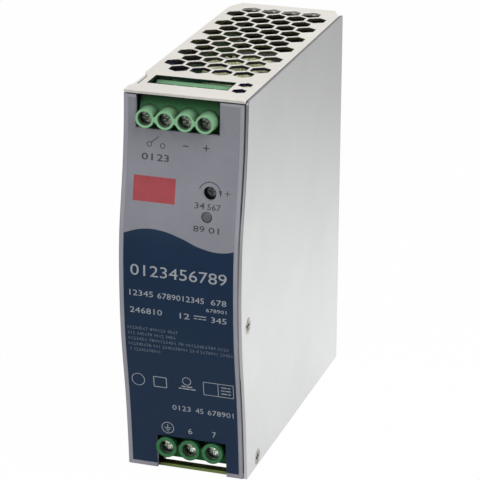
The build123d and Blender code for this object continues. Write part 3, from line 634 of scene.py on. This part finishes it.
def bakeTree(made, tree, values, smooth=True):
    # runs the tree once on the object, and keeps only the plain mesh
    modifier = made.modifiers.new(tree.name, "NODES")
    modifier.node_group = tree
    sockets = {item.name: item.identifier for item in tree.interface.items_tree
               if item.item_type == "SOCKET" and item.in_out == "INPUT"}
    for name, value in values.items():
        modifier[sockets[name]] = value
    view = made.evaluated_get(bpy.context.evaluated_depsgraph_get())
    mesh = bpy.data.meshes.new_from_object(view)
    mesh.name = made.name
    made.modifiers.clear()
    made.data = mesh
    oneFinish(mesh, values["Finish"], smooth)
    return made


# print on the label: flat outlines in millimetres, which the tree lays on the film

def bar(start, stop, wide, step=1.2):
    run = Vector(stop) - Vector(start)
    count = max(1, math.ceil(run.length / step))
    side = Vector((-run.y, run.x)).normalized() * wide / 2
    points = [Vector(start) + run * k / count for k in range(count + 1)]
    verts = [tuple(p - side) for p in points] + [tuple(p + side) for p in points]
    faces = [(k, k + 1, count + 2 + k, count + 1 + k) for k in range(count)]
    return verts, faces


def arc(centre, radius, wide, fromDeg=0.0, toDeg=360.0, pieces=36):
    whole = abs(toDeg - fromDeg) >= 360
    count = pieces if whole else pieces + 1
    turns = [math.radians(fromDeg + (toDeg - fromDeg) * k / pieces) for k in range(count)]
    verts = [(centre[0] + r * math.cos(a), centre[1] + r * math.sin(a))
             for r in (radius - wide / 2, radius + wide / 2) for a in turns]
    faces = []
    for k in range(pieces):
        following = (k + 1) % count
        faces.append((k, count + k, count + following, following))
    return verts, faces


def triangle(a, b, c):
    return [a, b, c], [(0, 1, 2)]


def frameBars(x, z, wide):
    return [bar((x[0], z[0]), (x[1], z[0]), wide), bar((x[0], z[1]), (x[1], z[1]), wide),
            bar((x[0], z[0]), (x[0], z[1]), wide), bar((x[1], z[0]), (x[1], z[1]), wide)]


def dashes(x, z, tall, words, gap=0.55):
    # blank strokes that fill a line as words would
    total = sum(words) + gap * (len(words) - 1)
    scale = (x[1] - x[0]) / total
    pieces, at = [], x[0]
    for word in words:
        pieces.append(bar((at, z), (at + word * scale, z), tall))
        at += (word + gap) * scale
    return pieces


def numerals(text, x, z, smoothness=2, weight=0.0):
    # digits from the built-in typeface, fitted between two places across and two heights
    curve = bpy.data.curves.new("numerals", "FONT")
    curve.body = text
    curve.resolution_u = smoothness
    curve.offset = weight
    holder = bpy.data.objects.new("numerals", curve)
    scene.collection.objects.link(holder)
    mesh = bpy.data.meshes.new_from_object(holder.evaluated_get(bpy.context.evaluated_depsgraph_get()))
    spots = [v.co.xy for v in mesh.vertices]
    low = Vector((min(s.x for s in spots), min(s.y for s in spots)))
    high = Vector((max(s.x for s in spots), max(s.y for s in spots)))
    fit = Vector(((x[1] - x[0]) / (high.x - low.x), (z[1] - z[0]) / (high.y - low.y)))
    verts = [(x[0] + (s.x - low.x) * fit.x, z[0] + (s.y - low.y) * fit.y) for s in spots]
    faces = [tuple(face.vertices) for face in mesh.polygons]
    bpy.data.objects.remove(holder)
    bpy.data.meshes.remove(mesh)
    return verts, faces


def buildPrintTree():
    # drops a flat outline onto the film along +Y, then gives it a skin's thickness
    tree, given, result = newShape("printOnFilm", [
        ("Film", "Object", None), ("Lift", "Float", 0.00001), ("Thickness", "Float", 0.00003),
        ("Detail", "Int", 2), ("Finish", "Material", None)])
    film = addNode(tree, "GeometryNodeObjectInfo", {"Object": given["Film"]})
    ray = addNode(tree, "GeometryNodeRaycast", {"Ray Direction": (0, 1, 0), "Ray Length": 1.0,
                                                "Target Geometry": film.outputs["Geometry"]})
    back = addNode(tree, "ShaderNodeCombineXYZ", {"Y": times(tree, given["Lift"], -1.0)})
    finer = addNode(tree, "GeometryNodeSubdivideMesh", {"Level": given["Detail"], "Mesh": given["Geometry"]})
    laid = addNode(tree, "GeometryNodeSetPosition", {
        "Geometry": finer.outputs["Mesh"], "Position": ray.outputs["Hit Position"],
        "Selection": ray.outputs["Is Hit"], "Offset": back.outputs[0]})
    deep = addNode(tree, "ShaderNodeCombineXYZ", {"Y": given["Thickness"]})
    sides = addNode(tree, "GeometryNodeExtrudeMesh", {"Individual": False, "Mesh": laid.outputs[0],
                                                      "Offset": deep.outputs[0]})
    turned = addNode(tree, "GeometryNodeFlipFaces", {0: sides.outputs["Mesh"]})
    both = together(tree, (turned.outputs[0], laid.outputs[0]))
    closed = addNode(tree, "GeometryNodeMergeByDistance", {"Distance": 0.0000004, 0: both})
    finishTree(tree, given, result, closed.outputs[0])
    return tree


printTree = buildPrintTree()


def printPiece(name, outlines, ink, detail=2):
    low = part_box("front_panel")[0]
    verts, faces = [], []
    for points, polygons in outlines:
        base = len(verts)
        verts += [(low.x + x * mm, low.y - 5 * mm, low.z + z * mm) for x, z in points]
        faces += [tuple(base + k for k in polygon) for polygon in polygons]
    made = emptyMesh(name, verts, faces)
    bakeTree(made, printTree, {"Film": cadNodes["front_label"], "Detail": detail, "Finish": ink}, smooth=False)
    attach(made, "case")
    return made


printed = {     # millimetres from the panel's lower left corner
    "pens": {"frame": 0.2, "thin": 0.22, "fine": 0.24, "plain": 0.26, "broad": 0.28, "bold": 0.36},
    "contacts": [(8.7, 108.9), (13.0, 108.7)], "contact": 0.72, "lever": ((9.2, 109.4), (11.7, 111.5)),
    "minus": ((19.5, 109.4), (21.3, 109.4)), "plus": ((26.95, 109.4), 0.95),
    "turn": ((28.7, 95.8), 3.45), "arrow": ((31.55, 96.9), (32.55, 97.0), (32.35, 94.9)),
    "more": ((34.4, 96.3), 0.9),
    "directLine": ((24.6, 56.6), (28.6, 56.6)), "directDashes": ((24.6, 25.7), 55.7, 1.45),
    "ring": ((5.0, 31.3), 2.1), "square": ((10.2, 14.4), (29.5, 33.1)), "smallRing": ((21.2, 32.9), 1.35),
    "underRing": [((19.4, 23.0), 30.9, [3.0, 4.0]), ((18.4, 24.0), 30.1, [2.0, 5.0, 3.0])],
    "ruledBox": ((26.7, 36.5), (28.9, 33.5)), "divider": 31.5, "ruled": ((32.5, 35.6), 32.3, 1.1),
    "earth": (14.0, 14.9), "earthRing": 1.95, "earthBars": ((1.1, 0.0), (0.72, -0.6), (0.36, -1.2)),
    "redField": ((4.1, 17.7), (91.3, 99.1)),
    # figures: text, left, right, foot, top, and how much heavier than the typeface
    "darkFigures": [("01", 6.3, 10.0, 103.9, 106.1, 0.012), ("23", 11.3, 15.2, 103.9, 106.1, 0.012),
                    ("34", 24.1, 27.4, 90.9, 92.8, 0.008), ("567", 28.2, 32.5, 90.8, 92.7, 0.008),
                    ("89", 24.1, 27.8, 83.9, 85.8, 0.008), ("01", 29.0, 32.4, 83.8, 85.7, 0.008)],
    "lightFigures": [("12345", 3.6, 11.4, 61.0, 62.9), ("6789012345", 12.8, 28.0, 60.9, 62.8),
                     ("678", 30.2, 35.2, 60.9, 62.8), ("246810", 3.6, 14.2, 55.2, 57.1),
                     ("12", 20.0, 23.2, 55.1, 57.0), ("345", 30.2, 35.2, 55.0, 56.9),
                     ("678901", 28.6, 35.2, 58.4, 59.6), ("0123", 15.9, 22.0, 21.8, 23.6),
                     ("45", 23.6, 26.2, 21.7, 23.5), ("678901", 27.6, 36.2, 21.6, 23.4),
                     ("6", 20.8, 22.2, 13.7, 15.7), ("7", 28.8, 30.1, 13.6, 15.6)],
    "largeFigures": ("0123456789", 4.0, 35.3, 67.8, 71.4),
    "faintFigures": [(2.4, 19.2, "01234567 890123 4567"), (2.6, 18.4, "012 345678 9012 3456"),
                     (2.6, 35.6, "0123456 7890123456 78 90123456789 0123"),
                     (2.6, 37.0, "012345678 901 2345678901 23 4 5678901 23456"), (3.0, 13.0, "0 12345678901")],
    "faintRows": (49.4, 50.5, 1.9),
}
pens = printed["pens"]


def cross(middle, reach, wide):
    x, z = middle
    return [bar((x - reach, z), (x + reach, z), wide), bar((x, z - reach), (x, z + reach), wide)]


def darkMarks():
    marks = [arc(spot, printed["contact"], pens["plain"], pieces=20) for spot in printed["contacts"]]
    marks += [bar(*printed["lever"], pens["plain"]), bar(*printed["minus"], pens["bold"])]
    marks += cross(*printed["plus"], pens["bold"]) + cross(*printed["more"], pens["fine"])
    marks += [arc(*printed["turn"], pens["broad"], 162, 14, pieces=30), triangle(*printed["arrow"])]
    marks += [numerals(text, (left, right), (foot, top), weight=weight)
              for text, left, right, foot, top, weight in printed["darkFigures"]]
    return marks


def lightMarks():
    text, left, right, foot, top = printed["largeFigures"]
    marks = [numerals(text, (left, right), (foot, top), 4)]
    marks += [numerals(text, (left, right), (foot, top))
              for text, left, right, foot, top in printed["lightFigures"]]
    marks += [bar(*printed["directLine"], pens["broad"])]
    (left, right), z, step = printed["directDashes"]
    marks += [bar((left + step * k, z), (right + step * k, z), pens["broad"]) for k in range(3)]
    marks += [arc(*printed["ring"], pens["thin"]), arc(*printed["smallRing"], pens["thin"], pieces=28)]
    marks += frameBars(*printed["square"], pens["plain"])
    for x, z, words in printed["underRing"]:
        marks += dashes(x, z, 0.4, words)
    box, divider = printed["ruledBox"], printed["divider"]
    marks += frameBars(*box, pens["frame"]) + [bar((divider, box[1][0]), (divider, box[1][1]), pens["frame"])]
    x, first, step = printed["ruled"]
    for k in range(3):
        marks += dashes(x, first - step * k, 0.34, [2.0, 3.0] if k % 2 else [3.4, 1.6])
    x, z = printed["earth"]
    marks += [arc((x, z), printed["earthRing"], pens["thin"]), bar((x, z + 1.3), (x, z), pens["fine"])]
    marks += [bar((x - reach, z + rise), (x + reach, z + rise), pens["fine"])
              for reach, rise in printed["earthBars"]]
    return marks


def faintMarks():
    # five rows of small plain figures
    foot, top, step = printed["faintRows"]
    return [numerals(text, (left, right), (foot - step * k, top - step * k), 1)
            for k, (left, right, text) in enumerate(printed["faintFigures"])]


def patch(x, z, rows=8):
    # a plain blank field of colour
    verts = [(x[k % 2], z[0] + (z[1] - z[0]) * (k // 2) / rows) for k in range(2 * rows + 2)]
    faces = [(2 * k, 2 * k + 1, 2 * k + 3, 2 * k + 2) for k in range(rows)]
    return verts, faces


printPiece("darkPrint", darkMarks(), plainInk("darkInk", labelPrint["darkInk"]))
printPiece("lightPrint", lightMarks(), plainInk("lightInk", labelPrint["lightInk"]))
printPiece("faintPrint", faintMarks(), plainInk("faintInk", labelPrint["faintInk"]), 0)
printPiece("redPatch", [patch(*printed["redField"])], plainInk("redInk", labelPrint["red"]))
print("label print is on")


# terminal shells

def buildCollarTree():
    # a round collar at each point, its axis along Y, thick enough to narrow a bore
    tree, given, result = newShape("boreCollars", [
        ("Inner", "Float", 0.0023), ("Outer", "Float", 0.00287), ("Depth", "Float", 0.0025),
        ("Round", "Float", 0.00018), ("Finish", "Material", None)])
    middle = times(tree, plus(tree, given["Inner"], given["Outer"]), 0.5)
    ring = addNode(tree, "GeometryNodeCurvePrimitiveCircle", {"Resolution": 64, "Radius": middle})
    section = oblong(tree, minus(tree, given["Outer"], given["Inner"]), given["Depth"])
    soft = addNode(tree, "GeometryNodeFilletCurve", mode="POLY")
    soft.inputs["Count"].default_value = 3
    join(tree, section, soft.inputs["Curve"])
    join(tree, given["Round"], soft.inputs["Radius"])
    swept = sweep(tree, ring.outputs[0], soft.outputs[0])
    placed = addNode(tree, "GeometryNodeInstanceOnPoints", {
        "Rotation": (math.radians(90), 0, 0), "Points": given["Geometry"], "Instance": swept})
    finishTree(tree, given, result, placed.outputs[0])
    return tree


barrels = {     # millimetres; the output's barrels taper from full to slim over the reach behind the rim
    "input": {"poles": 3, "inner": 2.3, "outer": 3.36},
    "output": {"poles": 4, "inner": 2.22, "outer": 2.86, "full": 3.25, "slim": 2.95, "reach": 4.4, "web": 3.185},
    "depth": 2.4, "proud": 0.008, "round": 0.18,
}


def poleMiddles(block):
    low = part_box(f"{block}_block")[0]
    spots = []
    for k in range(barrels[block]["poles"]):
        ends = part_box(f"{block}_screw_{k + 1}")
        spots.append(Vector(((ends[0].x + ends[1].x) / 2, low.y, (ends[0].z + ends[1].z) / 2)))
    return spots


def shellCopy(node):
    mesh = cadNodes[node].data.copy()
    stored = mesh.attributes.get("custom_normal")
    if stored is not None:
        mesh.attributes.remove(stored)
    whole = bmesh.new()
    whole.from_mesh(mesh)
    bpy.data.meshes.remove(mesh)
    bmesh.ops.transform(whole, matrix=cadNodes[node].matrix_world, verts=whole.verts)
    bmesh.ops.remove_doubles(whole, verts=whole.verts, dist=0.000001)
    return whole


def shellPiece(name, node, whole, collars):
    whole.from_mesh(collars.data)
    bpy.data.objects.remove(collars)
    made = emptyMesh(name)
    whole.to_mesh(made.data)
    whole.free()
    oneFinish(made.data, finishes["terminal_green"])
    made.data.set_sharp_from_angle(angle=math.radians(32))
    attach(made, "case")
    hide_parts(node)


def boreCollars(block):
    depth = barrels["depth"] * mm
    along = depth / 2 - barrels["proud"] * mm
    collars = emptyMesh("collars", [(p.x, p.y + along, p.z) for p in poleMiddles(block)])
    bakeTree(collars, buildCollarTree(), {
        "Inner": barrels[block]["inner"] * mm, "Outer": barrels[block]["outer"] * mm, "Depth": depth,
        "Round": barrels["round"] * mm, "Finish": finishes["terminal_green"]})
    return collars


def inputShell():
    shellPiece("inputShell", "input_block", shellCopy("input_block"), boreCollars("input"))


def outputShell():
    # the barrels taper a little to their rims, and only the webs keep the full width
    spots, size = poleMiddles("output"), barrels["output"]
    whole = shellCopy("output_block")
    for vert in whole.verts:
        near = min(spots, key=lambda p: abs(p.x - vert.co.x))
        out = Vector((vert.co.x - near.x, vert.co.z - near.z))
        between = abs(abs(vert.co.x - near.x) - size["web"] * mm)
        if vert.co.y > near.y + size["reach"] * mm or abs(out.length - size["full"] * mm) > 0.05 * mm:
            continue
        if between < 0.12 * mm and near is not spots[0] and near is not spots[-1]:
            continue
        scale = size["slim"] * mm / out.length
        vert.co.x = near.x + out.x * scale
        vert.co.z = near.z + out.y * scale
    shellPiece("outputShell", "output_block", whole, boreCollars("output"))


inputShell()
outputShell()
print("terminal shells are on")


# wound wire

def indexShare(tree, count):
    # 0 at a curve's first point, 1 at its last
    index = tree.nodes.new("GeometryNodeInputIndex").outputs[0]
    return mathNode(tree, "DIVIDE", index, minus(tree, count, 1.0))


def vectorNode(tree, x, y, z):
    return addNode(tree, "ShaderNodeCombineXYZ", {"X": x, "Y": y, "Z": z}).outputs[0]


def pointsPath(tree, count, place):
    # a curve of count points, put where the field says
    line = addNode(tree, "GeometryNodeMeshLine", {"Count": count})
    path = addNode(tree, "GeometryNodeMeshToCurve", {0: line.outputs[0]})
    moved = addNode(tree, "GeometryNodeSetPosition", {"Geometry": path.outputs[0], "Position": place})
    return moved.outputs[0]


def wireMesh(tree, path, radius, sides=8):
    ring = addNode(tree, "GeometryNodeCurvePrimitiveCircle", {"Resolution": sides, "Radius": radius})
    return sweep(tree, path, ring.outputs[0])


def buildSpringTree():
    # a compression spring with a closed turn at each end
    tree, given, result = newShape("wireSpring", [
        ("Foot", "Vector", (0, 0, 0)), ("Height", "Float", 0.0126), ("Radius", "Float", 0.0013),
        ("Wire", "Float", 0.0002), ("Turns", "Float", 9.0), ("Points", "Int", 253),
        ("Finish", "Material", None)])
    share = indexShare(tree, given["Points"])
    turned = times(tree, share, given["Turns"])
    angle = times(tree, turned, 2 * math.pi)
    thick = times(tree, given["Wire"], 2.0)
    free = minus(tree, given["Height"], times(tree, thick, 3.0))
    fromEnd = minus(tree, given["Turns"], turned)
    lowTurn = times(tree, mathNode(tree, "MINIMUM", turned, 1.0), thick)
    highTurn = times(tree, mathNode(tree, "MINIMUM", fromEnd, 1.0), thick)
    middle = mathNode(tree, "DIVIDE", minus(tree, turned, 1.0), minus(tree, given["Turns"], 2.0))
    clamped = mathNode(tree, "MINIMUM", mathNode(tree, "MAXIMUM", middle, 0.0), 1.0)
    rise = plus(tree, lowTurn, times(tree, clamped, free))
    rise = plus(tree, rise, minus(tree, thick, highTurn))
    rise = plus(tree, rise, given["Wire"])
    place = vectorNode(tree, times(tree, mathNode(tree, "COSINE", angle), given["Radius"]),
                       times(tree, mathNode(tree, "SINE", angle), given["Radius"]), rise)
    put = addNode(tree, "ShaderNodeVectorMath", {0: place, 1: given["Foot"]}, operation="ADD")
    path = pointsPath(tree, given["Points"], put.outputs[0])
    finishTree(tree, given, result, wireMesh(tree, path, given["Wire"], 10))
    return tree


def rounded(tree, wave, reach):
    # a wave squared off, so that a turn keeps to the flat sides of its core
    size = mathNode(tree, "POWER", mathNode(tree, "ABSOLUTE", wave), 0.45)
    return times(tree, times(tree, mathNode(tree, "SIGN", wave), size), reach)


def buildRingTree():
    # turns of wire over a taped band, round part of a ring that lies flat at Centre before it's tipped
    tree, given, result = newShape("ringWinding", [
        ("Centre", "Vector", (0, 0, 0)), ("Tip", "Vector", (0, 0, 0)), ("Ring", "Float", 0.0085),
        ("Half Width", "Float", 0.0042), ("Half Height", "Float", 0.0052), ("From", "Float", 0.0),
        ("Sweep", "Float", 5.76), ("Turns", "Float", 24.0), ("Points", "Int", 577), ("Wire", "Float", 0.00055),
        ("Finish", "Material", None)])
    wire = given["Wire"]
    share = indexShare(tree, given["Points"])
    around = plus(tree, times(tree, share, given["Sweep"]), given["From"])
    over = times(tree, times(tree, share, given["Turns"]), 2 * math.pi)
    wide = minus(tree, given["Half Width"], wire)
    tall = minus(tree, given["Half Height"], wire)
    outward = plus(tree, given["Ring"], rounded(tree, mathNode(tree, "COSINE", over), wide))
    place = vectorNode(tree, times(tree, outward, mathNode(tree, "COSINE", around)),
                       times(tree, outward, mathNode(tree, "SINE", around)),
                       rounded(tree, mathNode(tree, "SINE", over), tall))
    turns = wireMesh(tree, pointsPath(tree, given["Points"], place), wire)
    band = addNode(tree, "GeometryNodeCurveArc", {
        "Resolution": 49, "Radius": given["Ring"], "Start Angle": given["From"], "Sweep Angle": given["Sweep"]},
        mode="RADIUS")
    section = oblong(tree, *(times(tree, minus(tree, reach, wire), 2.0) for reach in (wide, tall)))
    soft = addNode(tree, "GeometryNodeFilletCurve", {"Radius": 0.0006, "Curve": section})
    both = together(tree, (turns, sweep(tree, band.outputs[0], soft.outputs[0])))
    tipped = addNode(tree, "GeometryNodeTransform", {
        "Geometry": both, "Translation": given["Centre"], "Rotation": given["Tip"]})
    finishTree(tree, given, result, tipped.outputs[0])
    return tree


latchCoil = {"radius": 0.0013, "wire": 0.0002, "turns": 9.0, "points": 253, "shortest": 0.637, "foot": 0.0182}


def springPiece():
    low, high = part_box("latch_spring")
    foot = Vector(((low.x + high.x) / 2, (low.y + high.y) / 2, low.z))
    made = emptyMesh("latchCoil")
    bakeTree(made, buildSpringTree(), {
        "Foot": tuple(foot), "Height": high.z - low.z, "Radius": latchCoil["radius"], "Wire": latchCoil["wire"],
        "Turns": latchCoil["turns"], "Points": latchCoil["points"], "Finish": finishes["spring_wire"]})
    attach(made, "case")
    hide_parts("latch_spring")
    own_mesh(made)


springPiece()
print("spring is wound")

ringTree = buildRingTree()
leadRadius = 0.4 * mm
outputWinding = {"spans": [(0, 330)], "ring": 8.5, "wide": 4.2, "tall": 5.2, "turns": 25, "wire": 0.5, "tip": 0}
inputWinding = {"spans": [(110, 140), (290, 140)], "ring": 7.7, "wide": 3.9, "tall": 5.6, "turns": 11,
                "wire": 0.42, "tip": 90}


def ringPiece(name, node, core, made):
    # one mesh of all the spans, and the core's middle is the winding's middle
    low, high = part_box(core)
    middle = (low + high) / 2
    holder = emptyMesh(name)
    whole = bmesh.new()
    for fromDeg, sweepDeg in made["spans"]:
        piece = emptyMesh(name + "Span")
        bakeTree(piece, ringTree, {
            "Centre": tuple(middle), "Tip": (math.radians(made["tip"]), 0.0, 0.0), "Ring": made["ring"] * mm,
            "Half Width": made["wide"] * mm, "Half Height": made["tall"] * mm,
            "From": math.radians(fromDeg), "Sweep": math.radians(sweepDeg), "Turns": float(made["turns"]),
            "Points": made["turns"] * 24 + 1, "Wire": made["wire"] * mm, "Finish": finishes["tape_winding"]})
        whole.from_mesh(piece.data)
        bpy.data.objects.remove(piece)
    if node == "output_choke_coil":
        addLead(whole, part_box(node)[0].x, middle)
    whole.to_mesh(holder.data)
    whole.free()
    oneFinish(holder.data, finishes["tape_winding"])
    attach(holder, "case")
    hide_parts(node)


def addLead(whole, boardX, middle):
    # the end of the wire, from the winding's side to the main board
    reach = middle.x - (outputWinding["ring"] + outputWinding["wide"]) * mm + leadRadius
    placed = Matrix.Translation(((boardX + reach) / 2, middle.y, middle.z)) @ Matrix.Rotation(math.pi / 2, 4, "Y")
    bmesh.ops.create_cone(whole, cap_ends=True, segments=12, radius1=leadRadius, radius2=leadRadius,
                          depth=reach - boardX, matrix=placed)


ringPiece("outputTurns", "output_choke_coil", "output_choke_core", outputWinding)
ringPiece("inputTurns", "input_choke_coils", "input_choke_core", inputWinding)
print("chokes are wound")


# camera, floor and lights

view = {
    "place": (0.2258, -0.6893, 0.3349), "forward": (-0.2900, 0.8893, -0.3536), "rollDeg": 0.2,
    "lens": 176.95, "sensor": 36.0,
}


def makeCamera():
    data = bpy.data.cameras.new("viewCamera")
    data.lens = view["lens"]
    data.sensor_width = view["sensor"]
    camera = bpy.data.objects.new("viewCamera", data)
    scene.collection.objects.link(camera)
    turn = Vector(view["forward"]).to_track_quat("-Z", "Y").to_matrix().to_4x4()
    roll = Matrix.Rotation(math.radians(view["rollDeg"]), 4, "Z")
    camera.matrix_world = Matrix.Translation(Vector(view["place"])) @ turn @ roll
    scene.camera = camera


studio = {
    "floorTone": "E8E7E4", "floorSize": 3.0, "floorShare": 0.985, "worldStrength": 0.36, "backdrop": 0.95,
    # metres from paleCentre between which the floor's shine in mirrors falls off, and what is left of it
    "paleCentre": (0.06, 0.09, 0.0), "pale": (0.05, 0.36), "farShare": 0.37,
    "lamps": [  # place, width, height, power
        ("keyLamp", (0.55, -0.25, 0.75), 0.6, 0.6, 4.6),
        ("frontLamp", (-0.5, -0.9, 0.45), 0.7, 0.7, 2.6),
        ("sideLamp", (0.8, 0.1, 0.12), 0.5, 0.35, 1.2),
    ],
}


def whiteForViewers(tree):
    # 1 for rays that only show the background: seen straight, mirrored or through glass
    path = addNode(tree, "ShaderNodeLightPath")
    seen = mathNode(tree, "MAXIMUM", path.outputs["Is Camera Ray"], path.outputs["Is Glossy Ray"])
    return mathNode(tree, "MAXIMUM", seen, path.outputs["Is Transmission Ray"])


def makeWorld():
    world = bpy.data.worlds.new("studioWorld")
    world.use_nodes = True
    scene.world = world
    tree = world.node_tree
    glow = tree.nodes["Background"]
    glow.inputs["Strength"].default_value = studio["worldStrength"]
    glow.inputs["Color"].default_value = (1, 1, 1, 1)
    white = addNode(tree, "ShaderNodeBackground", {"Color": (1, 1, 1, 1), "Strength": studio["backdrop"]})
    mixed = addNode(tree, "ShaderNodeMixShader", {0: whiteForViewers(tree), 1: glow.outputs[0],
                                                  2: white.outputs[0]})
    join(tree, mixed.outputs[0], tree.nodes["World Output"].inputs["Surface"])


def makeFloor():
    size = studio["floorSize"]
    corners = [(-size, -size, 0), (size, -size, 0), (size, size, 0), (-size, size, 0)]
    floor = emptyMesh("studioFloor", corners, [(0, 1, 2, 3)])
    made = Finish("studioFloor", studio["floorTone"], 0.9)
    tree = made.tree
    pale = addNode(tree, "ShaderNodeEmission", {"Color": (1, 1, 1, 1)})
    reach = addNode(tree, "ShaderNodeVectorMath", {0: made.place}, operation="DISTANCE")
    reach.inputs[1].default_value = studio["paleCentre"]
    near, far = studio["pale"]
    falling = stretch(tree, reach.outputs["Value"], near, far, 1.0, studio["farShare"])
    path = addNode(tree, "ShaderNodeLightPath")
    join(tree, mathNode(tree, "MAXIMUM", path.outputs["Is Camera Ray"], falling), pale.inputs["Strength"])
    share = times(tree, whiteForViewers(tree), studio["floorShare"])
    mixed = addNode(tree, "ShaderNodeMixShader", {0: share, 1: made.shader.outputs[0], 2: pale.outputs[0]})
    join(tree, mixed.outputs[0], tree.nodes["Material Output"].inputs["Surface"])
    floor.data.materials.append(made.material)


def makeLamps():
    middle = (cadBounds[0] + cadBounds[1]) / 2
    for name, place, wide, tall, power in studio["lamps"]:
        data = bpy.data.lights.new(name, "AREA")
        data.shape = "RECTANGLE"
        data.size, data.size_y = wide, tall
        data.energy = power
        lamp = bpy.data.objects.new(name, data)
        scene.collection.objects.link(lamp)
        aim = (middle - Vector(place)).to_track_quat("-Z", "Y").to_matrix().to_4x4()
        lamp.matrix_world = Matrix.Translation(Vector(place)) @ aim


makeCamera()
makeWorld()
makeFloor()
makeLamps()
scene.view_settings.view_transform = "Standard"
print("camera, floor and lamps are in place")
